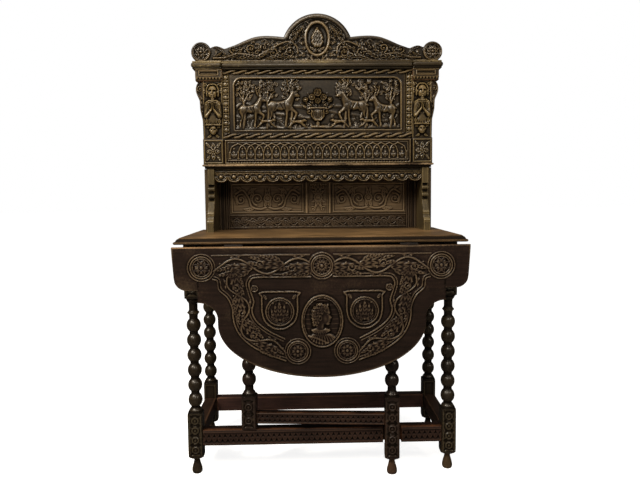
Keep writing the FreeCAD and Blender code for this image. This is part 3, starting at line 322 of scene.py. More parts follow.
def woven_grid(first, second):
    """A flat grid mesh and the column and row of each vertex."""
    fresh()
    bpy.ops.mesh.primitive_grid_add(x_subdivisions=first - 1, y_subdivisions=second - 1, size=2)
    grid = bpy.context.object
    points = coordinates(grid)
    column = np.rint((points[:, 0] + 1) / 2 * (first - 1)).astype(int)
    row = np.rint((points[:, 1] + 1) / 2 * (second - 1)).astype(int)
    return grid, column, row


def woven_tube(points, **attributes):
    """A closed tube over points by column and row, welded along its seam and filled at both ends."""
    columns, rows = points.shape[:2]
    tube, column, row = woven_grid(columns + 1, rows)
    column = column % columns
    reshape(tube, points[column, row] * MM)
    for attribute, values in attributes.items():
        store(tube, attribute, np.broadcast_to(values, (columns, rows))[column, row])
    with editing():
        bpy.ops.mesh.remove_doubles(threshold=WELD)
        bpy.ops.mesh.fill_holes(sides=0)
    return tube


def carved_board(columns, low, high, rows, front, back, carve, edge=2.0, rub=1.0, soft=3.0, tone=1.4):
    """A board with a carved front, whose outline lies between low and high over each column of x.

    Its rim is rounded and rubbed over the width of the edge. What stands above the ground around it, over
    a reach of about soft, is stored as relief, and tone is the height that counts as high.
    """
    low, high = (np.broadcast_to(np.asarray(line, float), columns.shape)[:, None] for line in (low, high))
    x = np.repeat(columns[:, None], rows, 1)
    z = low + (high - low) * np.linspace(0, 1, rows)[None, :]
    rim = np.minimum(np.minimum(z - low, high - z), np.minimum(x - columns[0], columns[-1] - x))
    carving = Carving(x, z)
    carve(carving)
    near = np.clip(1 - rim / edge, 0, 1)
    height = carving.height - edge * (1 - np.sqrt(np.clip(1 - near ** 2, 0, 1))) * 0.8
    pitch = (columns[-1] - columns[0]) / len(columns), np.median(high - low) / rows
    reach = [max(1, int(round(soft * 1.6 / step))) for step in pitch]
    relief = np.tanh((height - blurred(height, reach)) / tone)
    grid, column, row = woven_grid(len(columns), rows)
    reshape(grid, np.stack([x, front - height, z], -1)[column, row] * MM)
    with editing():
        bpy.ops.mesh.region_to_loop()
        bpy.ops.mesh.extrude_edges_move()
    points = coordinates(grid)
    points[x.size:, 1] = back * MM
    reshape(grid, points)
    for attribute, values in (("rubbed", near * rub), ("relief", relief)):
        store(grid, attribute, np.concatenate([values[column, row], np.zeros(len(points) - x.size)]))
    with editing(everything=False):
        bpy.ops.mesh.edge_face_add()
    return grid


def carve_solid(node, material, carve, pitch, proud, name=None, rows=None, angle=65, **finish):
    """A carved board in the place of a squared solid; its ground lies as deep as the carving stands proud."""
    low, high = node_box(node)
    columns = even(low[0], high[0], pitch[0])
    rows = rows or int((high[2] - low[2]) / pitch[-1])
    board = carved_board(columns, low[2], high[2], rows, low[1] + proud, high[1], carve, **finish)
    finish_piece(board, name or f"carved_{node}", "frame", material, node, angle)


def choose(piece, kind, wanted):
    """Select the wanted faces or edges of a piece, and nothing else, for the next step in edit mode."""
    bpy.ops.object.mode_set(mode="EDIT")
    bpy.ops.mesh.select_mode(type=kind)
    bpy.ops.mesh.select_all(action="DESELECT")
    bpy.ops.object.mode_set(mode="OBJECT")
    for part, want in zip(piece.data.polygons if kind == "FACE" else piece.data.edges, wanted):
        part.select = want
    bpy.ops.object.mode_set(mode="EDIT")


def block(low, high, soften=2.0, segments=3, rub=1.0):
    """A squared block with softened, rubbed edges."""
    fresh()
    low, high = np.asarray(low, float), np.asarray(high, float)
    bpy.ops.mesh.primitive_cube_add(size=1, location=(low + high) / 2 * MM)
    piece = bpy.context.object
    piece.scale = (high - low) * MM
    bpy.ops.object.transform_apply(location=True, rotation=True, scale=True)
    with editing():
        bpy.ops.mesh.bevel(offset=soften * MM, segments=segments, affect="EDGES")
    flat = high - low - 2 * soften
    for axis in range(3):
        choose(piece, "FACE", [abs(face.normal[axis]) > FLAT for face in piece.data.polygons])
        margin = min(5.0, 0.3 * min(flat[other] for other in range(3) if other != axis))
        bpy.ops.mesh.inset(thickness=margin * MM, use_individual=True)
        bpy.ops.mesh.select_mode(type="VERT")
        bpy.ops.object.mode_set(mode="OBJECT")
    points = coordinates(piece) / MM
    depth = np.sort(np.minimum(points - low, high - points), axis=1)
    inner = (depth[:, 0] < CLOSE) & (depth[:, 1] > soften + 0.2)
    store(piece, "rubbed", np.where(inner, 0.0, rub))
    return piece


def slab(outline, low, high, soften):
    """An outline of (y, z) pushed out across x, with softened, rubbed arrises."""
    mesh = bpy.data.meshes.new("outline")
    points = np.column_stack([np.full(len(outline), low), outline]) * MM
    mesh.from_pydata(points.tolist(), [], [list(range(len(outline)))])
    piece = bpy.data.objects.new("outline", mesh)
    bpy.context.scene.collection.objects.link(piece)
    fresh(piece)
    margin = soften + min(4.0, 0.25 * (high - low - 2 * soften))
    with editing():
        for step in (margin, high - low - 2 * margin, margin):
            bpy.ops.mesh.extrude_region_move(TRANSFORM_OT_translate={"value": (step * MM, 0, 0)})
        bpy.ops.mesh.select_all(action="SELECT")
        bpy.ops.mesh.normals_make_consistent(inside=False)
    along = coordinates(piece)[:, 0] / MM
    ends = (np.abs(along - low) < CLOSE) * 1 + (np.abs(along - high) < CLOSE) * 2
    arrises = [tuple(line.vertices) for line in piece.data.edges]
    choose(piece, "EDGE", [bool(ends[first] and ends[first] == ends[last]) for first, last in arrises])
    bpy.ops.mesh.bevel(offset=soften * MM, segments=3, affect="EDGES")
    bpy.ops.object.mode_set(mode="OBJECT")
    choose(piece, "FACE", [abs(face.normal[0]) > FLAT and len(face.vertices) > 4
                           for face in piece.data.polygons])
    bpy.ops.mesh.inset(thickness=3 * MM)
    bpy.ops.mesh.select_mode(type="VERT")
    bpy.ops.object.mode_set(mode="OBJECT")
    along = coordinates(piece)[:, 0] / MM
    inner = (np.abs(along - low - margin) < CLOSE) | (np.abs(high - margin - along) < CLOSE)
    for face in piece.data.polygons:
        if face.select:
            inner[list(face.vertices)] = True
    store(piece, "rubbed", np.where(inner, 0.0, 1.0))
    return piece


# Lines
def along_line(line, spacing):
    """Points at an even spacing along a line of points."""
    line = np.asarray(line, float)
    run = np.concatenate([[0], np.cumsum(np.hypot(*np.diff(line, axis=0).T))])
    stops = np.arange(0, run[-1] + 1e-6, spacing)
    return np.stack([np.interp(stops, run, line[:, 0]), np.interp(stops, run, line[:, 1])], -1)


def smooth_line(points, steps=8):
    """A curve through the given points."""
    p = np.asarray(points, float)
    p = np.vstack([2 * p[0] - p[1], p, 2 * p[-1] - p[-2]])
    t = np.linspace(0, 1, steps, endpoint=False)[:, None]
    parts = []
    for a, b, c, d in zip(p[:-3], p[1:-2], p[2:-1], p[3:]):
        parts.append(0.5 * (2 * b + (c - a) * t + (2 * a - 5 * b + 4 * c - d) * t ** 2
                            + (3 * b - a - 3 * c + d) * t ** 3))
    return np.vstack(parts + [p[-2:-1]])


def closed_curve(points):
    """A smooth closed curve through the given points."""
    steps = 4
    points = np.asarray(points, float)
    curve = smooth_line(np.vstack([points[-2:], points, points[:2]]), steps)
    return curve[2 * steps:2 * steps + len(points) * steps]


def directions(line):
    """At each point of a line, the unit steps ahead and aside."""
    ahead = np.gradient(line, axis=0)
    ahead /= np.hypot(*ahead.T)[:, None]
    return ahead, np.stack([-ahead[:, 1], ahead[:, 0]], -1)


def bow_line(centre, radius, angles, rise=None):
    """An arc about a centre, oval where its rise is given."""
    return np.stack([centre[0] + radius * np.cos(angles),
                     centre[1] + (radius if rise is None else rise) * np.sin(angles)], -1)


def even(low, high, step):
    return np.linspace(low, high, int(round((high - low) / step)) + 1)


def both_ways(right):
    """Columns from the middle to the right, and the same to the left."""
    return np.concatenate([-right[:0:-1], right])


# Carving
FIGURE_MELT = 2.5
FIGURE_DEPTH = 6.0
# The leaves in each wave of a foliage band: start and end along it, start and end across it, width, bow
WAVE_LEAVES = ((-0.62, 0.42, -0.34, -0.30, 0.34, 0.42), (-0.56, 0.30, 0.10, 0.18, 0.32, 0.30),
               (-0.44, 0.02, 0.34, 0.86, 0.26, 0.16), (-0.16, 0.30, 0.46, 0.92, 0.25, 0.14),
               (0.10, 0.60, 0.36, 0.78, 0.24, 0.12), (0.20, 0.66, -0.10, 0.30, 0.22, 0.10))


class Carving:
    """Heights over the face of a board, raised motif by motif."""

    def __init__(self, x, z, melt=0.0, height=None):
        self.x = x
        self.z = z
        self.melt = melt
        self.height = np.zeros_like(x) if height is None else height

    def mirrored(self):
        """The same face folded about its middle, so that each motif shows on both sides."""
        return Carving(np.abs(self.x), self.z, height=self.height)

    def within(self, points, margin):
        points = np.asarray(points, float)
        low, high = points.min(0) - margin, points.max(0) + margin
        return (self.x >= low[0]) & (self.x <= high[0]) & (self.z >= low[1]) & (self.z <= high[1])

    def lift(self, where, values):
        """Raise the wood to the given heights where they are the higher; figures melt into themselves."""
        old = self.height[where]
        raised = np.maximum(old, values)
        if self.melt:
            raised = raised + np.clip(self.melt - np.abs(old - values), 0, None) ** 2 / (4 * self.melt)
        self.height[where] = raised

    def to_line(self, where, line):
        """Distance to a line of points, and the share of the line at the nearest point."""
        x, z = self.x[where], self.z[where]
        best = np.full(x.shape, np.inf)
        share = np.zeros(x.shape)
        line = np.asarray(line, float)
        steps = np.hypot(*np.diff(line, axis=0).T)
        run = np.concatenate([[0], np.cumsum(steps)]) / max(steps.sum(), TINY)
        for (ax, az), (bx, bz), start, end in zip(line[:-1], line[1:], run[:-1], run[1:]):
            dx, dz = bx - ax, bz - az
            t = np.clip(((x - ax) * dx + (z - az) * dz) / max(dx * dx + dz * dz, TINY), 0, 1)
            gap = np.hypot(x - ax - t * dx, z - az - t * dz)
            nearer = gap < best
            best = np.where(nearer, gap, best)
            share = np.where(nearer, start + t * (end - start), share)
        return best, share

    def oval(self, centre, radius, tall):
        """The neighbourhood of an oval, and how far from its centre each point is."""
        where = self.within([centre], radius * max(1.0, tall))
        return where, np.hypot(self.x[where] - centre[0], (self.z[where] - centre[1]) / tall)

    def ridge(self, line, width, height, taper=0.0, base=0.0):
        """A rounded rib along a line, thinner towards its end by the taper's share."""
        where = self.within(line, width)
        gap, share = self.to_line(where, line)
        reach = width * (1 - taper * share)
        rise = height * (1 - 0.5 * taper * share) * np.sqrt(np.clip(1 - (gap / reach) ** 2, 0, 1))
        self.lift(where, np.where(gap < reach, base + rise, LOWEST))

    def groove(self, line, width, depth):
        where = self.within(line, width)
        gap, _ = self.to_line(where, line)
        self.height[where] -= depth * np.clip(1 - (gap / width) ** 2, 0, 1)

    def limb(self, start, end, first, last, height, base=0.0):
        """A tapered rounded limb between two points."""
        line = np.array([start, end], float)
        where = self.within(line, max(first, last))
        gap, share = self.to_line(where, line)
        reach = first + (last - first) * share
        rise = height * np.sqrt(np.clip(1 - (gap / reach) ** 2, 0, 1))
        self.lift(where, np.where(gap < reach, base + rise, LOWEST))

    def dome(self, centre, radius, height, base=0.0, tall=1.0):
        """A rounded boss, round or oval."""
        where = self.within([centre], radius * max(1.0, tall))
        dx, dz = self.x[where] - centre[0], self.z[where] - centre[1]
        gap = np.hypot(dx / radius, dz / (radius * tall))
        self.lift(where, np.where(gap < 1, base + height * np.sqrt(np.clip(1 - gap ** 2, 0, 1)), LOWEST))

    def plate(self, centre, radius, height, tall=1.0, bevel=1.5):
        """A flat round or oval plate with a sloped rim."""
        where, gap = self.oval(centre, radius, tall)
        self.lift(where, height * np.clip((radius - gap) / bevel, -9, 1))

    def sink(self, centre, radius, level, tall=1.0):
        """A flat round or oval floor cut down to a level."""
        where, gap = self.oval(centre, radius, tall)
        self.height[where] = np.where(gap < radius, level, self.height[where])

    def ring(self, centre, radius, width, height, tall=1.0, base=0.0):
        line = bow_line(centre, radius, np.linspace(0, 2 * math.pi, 49), radius * tall)
        self.ridge(line, width, height, base=base)

    def frame(self, x0, x1, z0, z1, width, height):
        """A raised fillet round a rectangle."""
        self.ridge([(x0, z0), (x1, z0), (x1, z1), (x0, z1), (x0, z0)], width, height)

    def leaf(self, start, end, width, height, bow=0.0, base=0.0, veins=3):
        """A pointed leaf with a sunk midrib, bowed to one side."""
        start, end = np.asarray(start, float), np.asarray(end, float)
        length = np.hypot(*(end - start))
        where = self.within([start, end], width + abs(bow))
        ux, uz = (end - start) / length
        dx, dz = self.x[where] - start[0], self.z[where] - start[1]
        along = (dx * ux + dz * uz) / length
        off = np.abs(-dx * uz + dz * ux - bow * 4 * along * (1 - along))
        inside = (along > 0) & (along < 1)
        along = np.clip(along, 1e-4, 1 - 1e-4)
        half = width * np.sin(math.pi * along ** 0.75) ** 0.8
        rise = height * np.sqrt(np.clip(1 - (off / half) ** 2, 0, 1))
        rise = rise * (0.75 + 0.25 * np.cos(2 * math.pi * veins * (along - off / length * 1.5)))
        rise = rise - 0.35 * height * np.exp(-(off / (0.12 * width + 0.3)) ** 2)
        self.lift(where, np.where(inside & (off < half), base + rise, LOWEST))

    def scroll(self, centre, radius, turns, start, width, height, hand=1, base=0.0):
        """A spiral that winds in from its rim to a round eye."""
        t = np.linspace(0, 1, int(26 * turns) + 6)
        line = bow_line(centre, radius * (1 - 0.86 * t), start + hand * t * turns * 2 * math.pi)
        self.ridge(line, width, height, taper=0.35, base=base)
        self.dome(centre, width * 1.25, height * 1.15, base)

    def rosette(self, centre, radius, petals, height, floor=0.0):
        """A wheel of petals in a double ring, round a boss."""
        self.sink(centre, radius, floor)
        self.ring(centre, radius * 0.95, radius * 0.06 + 0.5, height)
        self.ring(centre, radius * 0.78, radius * 0.05 + 0.4, height * 0.8)
        for index in range(petals):
            angle = 2 * math.pi * (index + 0.5) / petals
            self.leaf(bow_line(centre, radius * 0.2, angle), bow_line(centre, radius * 0.74, angle),
                      radius * 0.62 * math.pi / petals * 0.9, height, veins=1)
        self.dome(centre, radius * 0.2, height * 1.2)

    def foliage(self, line, spread, spacing, height, phase=0.0):
        """A waving stem along the middle of a band; long veined leaves and a curled tip fill each wave."""
        step = 3.0
        places = along_line(line, step)
        ahead, aside = directions(places)
        run = np.arange(len(places)) * step
        wave = np.sin(math.pi * run / spacing + phase)
        stem = places + aside * (wave * spread * 0.72)[:, None]
        self.ridge(stem, spread * 0.09 + 0.2, height * 0.85)
        for index in range(int(run[-1] // spacing) + 1):
            i = int(round(((index + 0.5) * spacing - phase * spacing / math.pi) / step))
            if not 2 <= i < len(places) - 2:
                continue
            side = 1 if wave[i] > 0 else -1
            out, on = -aside[i] * side, ahead[i]
            heart = places[i] + out * spread * 0.10
            for back, fore, low, rise, width, bow in WAVE_LEAVES:
                start = heart + on * back * spacing + out * low * spread
                end = heart + on * fore * spacing + out * rise * spread
                self.leaf(start, end, spread * width, height * 1.05, bow=-side * bow * spread * 0.6, veins=4)
            self.scroll(heart + on * spacing * 0.24 + out * spread * 0.06, spread * 0.4, 1.2,
                        math.atan2(-on[1], -on[0]), spread * 0.065 + 0.1, height * 1.15, hand=side)
            for lean in (-0.6, 0.6):
                tip = stem[i] - out * spread * 0.22 + on * spread * lean
                self.leaf(stem[i], tip, spread * 0.12, height, bow=side * lean * 3, veins=2)
            for reach in (-0.46, 0.02, 0.50):
                self.dome(heart + on * reach * spacing - out * spread * 0.36, spread * 0.075, height * 1.1)

    def figure(self, base):
        """A layer of its own for one figure, whose limbs melt into each other."""
        return Carving(self.x, self.z, FIGURE_MELT, np.full_like(self.x, base - FIGURE_DEPTH))

    def settle(self, layer):
        np.maximum(self.height, layer.height, out=self.height)

    def shape(self, outline, height, roll, base=0.0):
        """A closed outline that stands proud with rolled edges."""
        line = np.vstack([outline, outline[:1]])
        where = self.within(line, 0.5)
        x, z = self.x[where], self.z[where]
        inside = np.zeros(x.shape, bool)
        for (ax, az), (bx, bz) in zip(line[:-1], line[1:]):
            crosses = (az > z) != (bz > z)
            inside ^= crosses & (x < ax + (z - az) * (bx - ax) / (bz - az if bz != az else TINY))
        gap, _ = self.to_line(where, line)
        share = np.clip(gap / roll, 0, 1)
        self.lift(where, np.where(inside, base + height * np.sqrt(1 - (1 - share) ** 2), LOWEST))

    def thicket(self, area, inside, size, height, seed, base=0.0):
        """Curled leaves and small scrolls that fill the ground inside an area."""
        picks = np.random.default_rng(seed)
        x0, x1, z0, z1 = area
        for across in np.arange(x0, x1, size):
            for up in np.arange(z0, z1, size):
                x, z = across + picks.uniform(-0.3, 0.3) * size, up + picks.uniform(-0.3, 0.3) * size
                turn, hand = picks.uniform(0, 2 * math.pi), picks.choice((-1, 1))
                if not inside(x, z):
                    continue
                if picks.random() < 0.3:
                    self.scroll((x, z), size * 0.5, 1.1, turn, size * 0.1 + 0.5, height, hand=hand, base=base)
                else:
                    dx, dz = 0.65 * size * math.cos(turn), 0.65 * size * math.sin(turn)
                    self.leaf((x - dx, z - dz), (x + dx, z + dz), size * 0.3, height, bow=hand * size * 0.18,
                              base=base)


# Drop leaf
LEAF_RISE = 2.5  # the visible leaf reaches this far above its solid


def leaf_outline(half):
    """Columns across the leaf and its depth below each: a bow between two coves, and rounded ears."""
    ear, ear_round, taper = 126.0, 36.0, 6.0
    step_x, step_d, cove_d, bow_x, bow_d, bow = 368.0, 163.0, 215.0, 310.0, 230.0, 163.0
    bend = np.array([0.01, 0.08, 0.25, 0.55, 1.0, 1.6, 2.5, 3.6])
    columns = both_ways(np.concatenate([
        even(0, bow_x - 5, 1.95), bow_x - bend[::-1], bow_x + bend, even(bow_x + 5, step_x - 0.02, 1.95),
        [step_x], even(step_x + 2, half - taper, 2.0)[:-1], even(half - taper, half, 1.5)]))
    x = np.abs(columns)
    depth = np.full(x.shape, ear)
    bowed = x <= bow_x
    depth[bowed] = bow_d + bow * np.sqrt(np.clip(1 - (x[bowed] / bow_x) ** 2, 0, 1))
    cove = (x > bow_x) & (x < step_x)
    share = (step_x - x[cove]) / (step_x - bow_x)
    depth[cove] = cove_d - (cove_d - step_d) * np.sqrt(np.clip(1 - share ** 2, 0, 1))
    knee = half - taper - ear_round
    turn = (x > knee) & (x <= half - taper)
    depth[turn] = ear - ear_round + np.sqrt(np.clip(ear_round ** 2 - (x[turn] - knee) ** 2, 0, None))
    side = x > half - taper
    depth[side] = (half - x[side]) / taper * (ear - ear_round)
    return columns, np.maximum(depth, 0.4)


def drop_leaf():
    low, high = node_box("drop_leaf")
    top = high[2]
    columns, depth = leaf_outline(high[0])

    def carve(face):
        face.z = face.z - top
        leaf_carving(face)

    leaf = carved_board(columns, top - depth, top + LEAF_RISE, 196, low[1] + 3.2, high[1], carve, edge=3.0,
                        rub=0.6)
    x, _, z = coordinates(leaf).T / MM
    level = z - top
    # Top edge: wear and a painted highlight, brightest towards the left
    top_edge_wear_and_highlight = np.clip(1.2 - x / 600, 0.9, 1.6)
    store(leaf, "rubbed", np.where(level > -0.5, top_edge_wear_and_highlight, stored(leaf, "rubbed")))
    # Painted light and shade: the leaf is a little lighter at the top and darker towards the bottom
    store(leaf, "relief", stored(leaf, "relief") + 0.04 - 0.16 * np.clip(-level / 320, 0, 1))
    finish_piece(leaf, "carved_drop_leaf", "leaf", LEAF_OAK, "drop_leaf", angle=62)


def leaf_carving(face):
    """Bands of foliage between double fillets, wheels at their ends, and shields about an oval bust."""
    fold = face.mirrored()
    inner = smooth_line([(34, -88), (120, -88), (190, -88), (208, -93), (216, -108), (211, -132),
                         (203, -160), (208, -192), (193, -222), (158, -250), (112, -274)])
    outer = smooth_line([(322, -92), (309, -98), (304, -124), (280, -148), (266, -180), (262, -222),
                         (244, -262), (210, -294), (162, -320), (110, -340)])
    for line, offset in ((inner, -8), (outer, 8)):
        fold.ridge(line, 2.3, 2.6)
        fold.ridge(line - directions(line)[1] * offset, 1.7, 1.9)
    fold.ridge([(36, -22), (324, -22)], 1.9, 1.6)
    band = smooth_line([(262, -70), (262, -104), (248, -140), (235, -182), (233, -222), (215, -256),
                        (182, -284), (142, -300), (106, -308)])
    fold.foliage([(36, -55), (318, -55)], 31, 92, 3.2, phase=0.4)
    fold.foliage(band, 27, 78, 3.2, phase=0.2)
    for centre, radius in (((355, -58), 34), ((74, -312), 32)):
        fold.rosette(centre, radius, 8, 3.4)
        fold.ring(centre, radius + 6, 1.9, 2.2)
    face.rosette((0, -56), 33, 12, 3.4)
    face.ring((0, -56), 39, 1.9, 2.2)
    fold.rosette((200, -122), 10, 6, 2.8)
    shield(fold, (126, -186))
    bust_medallion(face, (0, -222))


def about(centre, points):
    return [(centre[0] + dx, centre[1] + dz) for dx, dz in points]


def shield(face, centre):
    """A strapwork shield round a double ring with a spray of leaves."""
    cx, cz = centre
    outline = smooth_line(about(centre, [(-52, 40), (-53, 0), (-44, -34), (-20, -54), (0, -58), (20, -54),
                                         (44, -34), (53, 0), (52, 40)]))
    top = about(centre, [(-52, 40), (-61, 50), (-46, 54), (46, 54), (61, 50), (52, 40)])
    face.ridge(outline, 2.3, 2.8)
    face.ridge(top, 2.3, 2.8)
    face.ring((cx, cz - 6), 41, 2.2, 2.6)
    face.ring((cx, cz - 6), 35, 1.5, 2.0)
    root = (cx, cz - 30)
    face.leaf(root, (cx + 1, cz + 26), 8.5, 3.2, veins=5)
    for hand in HANDS:
        for reach, rise, width, bow in ((13, 18, 6.5, 5), (25, 4, 6.0, 7), (28, -16, 5.0, 6)):
            face.leaf(root, (cx + hand * reach, cz + rise), width, 3.0, bow=-hand * bow, veins=4)
        face.scroll((cx + hand * 11, cz - 32), 6.0, 1.1, math.pi / 2, 1.6, 3.0, hand=hand)
        face.dome((cx + hand * 20, cz + 20), 2.6, 3.0)
        face.leaf((cx + hand * 38, cz + 32), (cx + hand * 50, cz + 46), 5, 2.8)
    face.dome(root, 4.5, 3.4)


CLOAK = [(-50, -78), (-47, -50), (-30, -36), (-10, -30), (14, -32), (36, -42), (48, -56), (50, -78)]
HEAD = [(-8, 52), (8, 50), (19, 42), (23, 31), (24, 24), (23, 20), (29, 10), (25, 7), (26, 4), (23.5, 2),
        (25, -1), (22, -4), (22, -9), (15, -13), (7, -10), (5, -24), (8, -36), (-20, -36), (-19, -12),
        (-26, 4), (-31, 22), (-24, 42)]
# Rows of curls on the head: how many, where the row starts, and its height
CURLS = ((5, -14, 50), (6, -23, 42), (6, -27, 33), (5, -29, 24), (4, -29, 15), (3, -28, 6), (3, -26, -3),
         (2, -24, -11))


def bust_medallion(face, centre):
    """An oval with a double rim and a plain bust in profile, in a ruff and a pleated cloak."""
    cx, cz = centre
    tall, floor = 1.28, -0.8
    face.plate(centre, 62, 1.2, tall=tall)
    face.sink(centre, 57, floor, tall=tall)
    for row in range(9):
        face.ridge(about(centre, [(-52, 62 - row * 14), (52, 62 - row * 14)]), 1.4, 0.7, base=floor)
    bust = face.figure(floor)
    bust.shape(closed_curve(about(centre, CLOAK)), 3.2, 12, floor)
    bust.shape(closed_curve(about(centre, HEAD)), 4.0, 7, floor)
    bust.dome((cx + 9, cz + 7), 10, 4.8, floor, tall=1.3)
    bust.dome((cx + 15, cz + 21), 3.0, 4.7, floor, tall=0.7)
    bust.ridge(smooth_line(about(centre, [(9, 27), (16, 28), (22, 25)])), 1.8, 5.0, base=floor)
    bust.ring((cx - 6, cz + 10), 4.6, 1.6, 5.4, tall=1.4, base=floor)
    for row, (count, start, level) in enumerate(CURLS):
        for step in range(count):
            curl = (cx + start + step * 7.2, cz + level - abs(step - count / 2) * 0.8)
            bust.scroll(curl, 4.6, 1.0, step + row, 1.7, 5.6, base=floor)
    for step in range(11):
        angle = math.radians(200 + step * 14)
        bust.limb(bow_line((cx - 5, cz - 20), 15, angle, 7), bow_line((cx - 5, cz - 22), 27, angle, 15),
                  2.2, 3.2, 5.2, floor)
    for step in range(-5, 6):
        pleat = about(centre, [(-2 + step * 5, -40), (-1 + step * 8, -54), (step * 10, -76)])
        bust.ridge(smooth_line(pleat), 2.6, 4.6, base=floor)
    bust.ridge(smooth_line(about(centre, [(-40, -44), (-14, -52), (16, -66)])), 3.2, 5.2, base=floor)
    bust.height[np.hypot(bust.x - cx, (bust.z - cz) / tall) > 55] = LOWEST
    face.settle(bust)
    face.ring(centre, 60.5, 2.4, 3.2, tall=tall)
    face.ring(centre, 55.0, 1.6, 2.2, tall=tall)


# Hood
HOOD_PROUD = 22.0  # the face of the hood stands this far before its end boards
HOOD_HALF = 392.0  # from the middle to the inner side of the consoles
HOUND = [(100, 44), (92, 50), (86, 53), (80, 52), (75, 47), (62, 47), (42, 46), (26, 45), (18, 47), (8, 56),
         (1, 60), (6, 52), (16, 41), (15, 33), (6, 24), (0, 16), (-8, 6), (0, 4), (8, 13), (17, 22), (28, 28),
         (40, 32), (50, 30), (64, 26), (76, 15), (90, 7), (101, 3), (102, 8), (92, 15), (81, 26), (80, 34),
         (87, 38), (97, 40)]
STAG = [(92, 84), (85, 92), (78, 95), (71, 100), (72, 92), (66, 82), (56, 71), (38, 67), (22, 69), (14, 62),
        (8, 54), (13, 54), (13, 46), (19, 32), (14, 18), (11, 3), (20, 2), (19, 18), (25, 32), (30, 42),
        (36, 46), (48, 44), (56, 45), (58, 28), (56, 16), (54, 3), (62, 2), (62, 16), (64, 28), (66, 40),
        (72, 41), (81, 35), (77, 24), (72, 16), (79, 14), (84, 24), (89, 38), (80, 48), (76, 56), (79, 68),
        (82, 76), (89, 77), (95, 79)]


def relief_panel():
    """Parkland, sunk in a frame with rounded upper corners."""
    low, high = node_box("relief_panel")
    x0, x1, z0, z1 = low[0] + 37, high[0] - 37, low[2] + 28, high[2] - 26
    radius, floor = 28, -6.0

    def carve(face):
        sunk = rounded_frame(face, x0, x1, z0, z1, radius)
        face.height[sunk] = floor
        parkland(face, x0, x1, z0, z1, floor)
        rim = face.within([(x0 - 14, z0 - 8), (x1 + 14, z1 + 15)], 0)
        face.height[rim & ~sunk] = 1.0
        face.height[~rim] = 0.0
        face.ridge(frame_path(x0, x1, z0, z1, radius), 2.6, 2.6)

    carve_solid("relief_panel", HOOD_OAK, carve, (1.55,), 2, edge=1.0, rub=0.0, soft=4, tone=2.0)


def rounded_frame(face, x0, x1, z0, z1, radius):
    """Points inside a rectangle whose upper corners are rounded."""
    dx = np.maximum(np.maximum(x0 + radius - face.x, face.x - x1 + radius), 0)
    dz = np.maximum(face.z - z1 + radius, 0)
    squared = (face.x > x0) & (face.x < x1) & (face.z > z0) & (face.z < z1)
    return squared & (np.hypot(dx, dz) < radius)


def frame_path(x0, x1, z0, z1, radius):
    turn = np.linspace(0, math.pi / 2, 9)
    right = bow_line((x1 - radius, z1 - radius), radius, turn)
    left = bow_line((x0 + radius, z1 - radius), radius, turn + math.pi / 2)
    return np.vstack([[(x0, z0), (x1, z0)], right, left, [(x0, z0)]])


def drawing(at, hand, size):
    """From the places in a drawing of a beast to places on the face, turned to one hand."""
    def place(dx, dz):
        return at[0] + hand * dx * size, at[1] + dz * size

    return place


def stag(face, at, hand, size, base):
    """A stag with branched antlers, one foreleg raised."""
    place = drawing(at, hand, size)
    body = face.figure(base)
    body.limb(place(22, 44), place(30, 26), 7 * size, 4 * size, 5, base)
    body.limb(place(30, 26), place(27, 2), 3.6 * size, 2.6 * size, 5, base)
    body.shape(closed_curve([place(*spot) for spot in STAG]), 8.0, 6.5 * size, base)
    body.dome(place(26, 54), 13 * size, 9.6, base, tall=1.1)
    body.dome(place(64, 56), 12 * size, 9.8, base, tall=1.2)
    body.limb(place(68, 66), place(76, 86), 8 * size, 6 * size, 9.4, base)
    face.settle(body)
    for lean in (0, 8):
        stem = smooth_line([place(78 - lean, 95), place(72 - lean, 108), place(76 - lean * 1.7, 122)])
        face.ridge(stem, 1.9 * size, 6.5, base=base)
        for rise, out in ((101, 9), (109, 11), (116, 8)):
            tip = place(74 - lean + out, rise + 8)
            face.limb(place(74 - lean, rise), tip, 1.7 * size, 1.0 * size, 6, base)
    face.groove([place(44, 62), place(52, 48)], 1.6 * size, 1.6)
    face.groove(smooth_line([place(58, 68), place(55, 58), place(59, 47)]), 1.5 * size, 1.8)
    face.groove(smooth_line([place(36, 64), place(36, 54), place(30, 46)]), 1.5 * size, 1.8)
    face.groove([place(84, 87), place(86, 86)], 1.6 * size, 2.0)


def hound(face, at, hand, size, base):
    """A running hound."""
    place = drawing(at, hand, size)
    body = face.figure(base)
    body.limb(place(24, 34), place(8, 10), 7 * size, 2.6 * size, 4, base)
    body.limb(place(68, 30), place(92, 18), 6 * size, 2.4 * size, 4, base)
    body.shape(closed_curve([place(*spot) for spot in HOUND]), 7.0, 6 * size, base)
    body.dome(place(26, 38), 10 * size, 8.4, base)
    body.dome(place(68, 38), 11 * size, 8.6, base)
    face.settle(body)
    face.ridge(smooth_line([place(82, 51), place(78, 46), place(78, 40)]), 2.6 * size, 8.5, base=base)
    for step in range(4):
        face.groove([place(50 + step * 4.5, 43), place(47 + step * 4.5, 33)], 1.3 * size, 1.1)


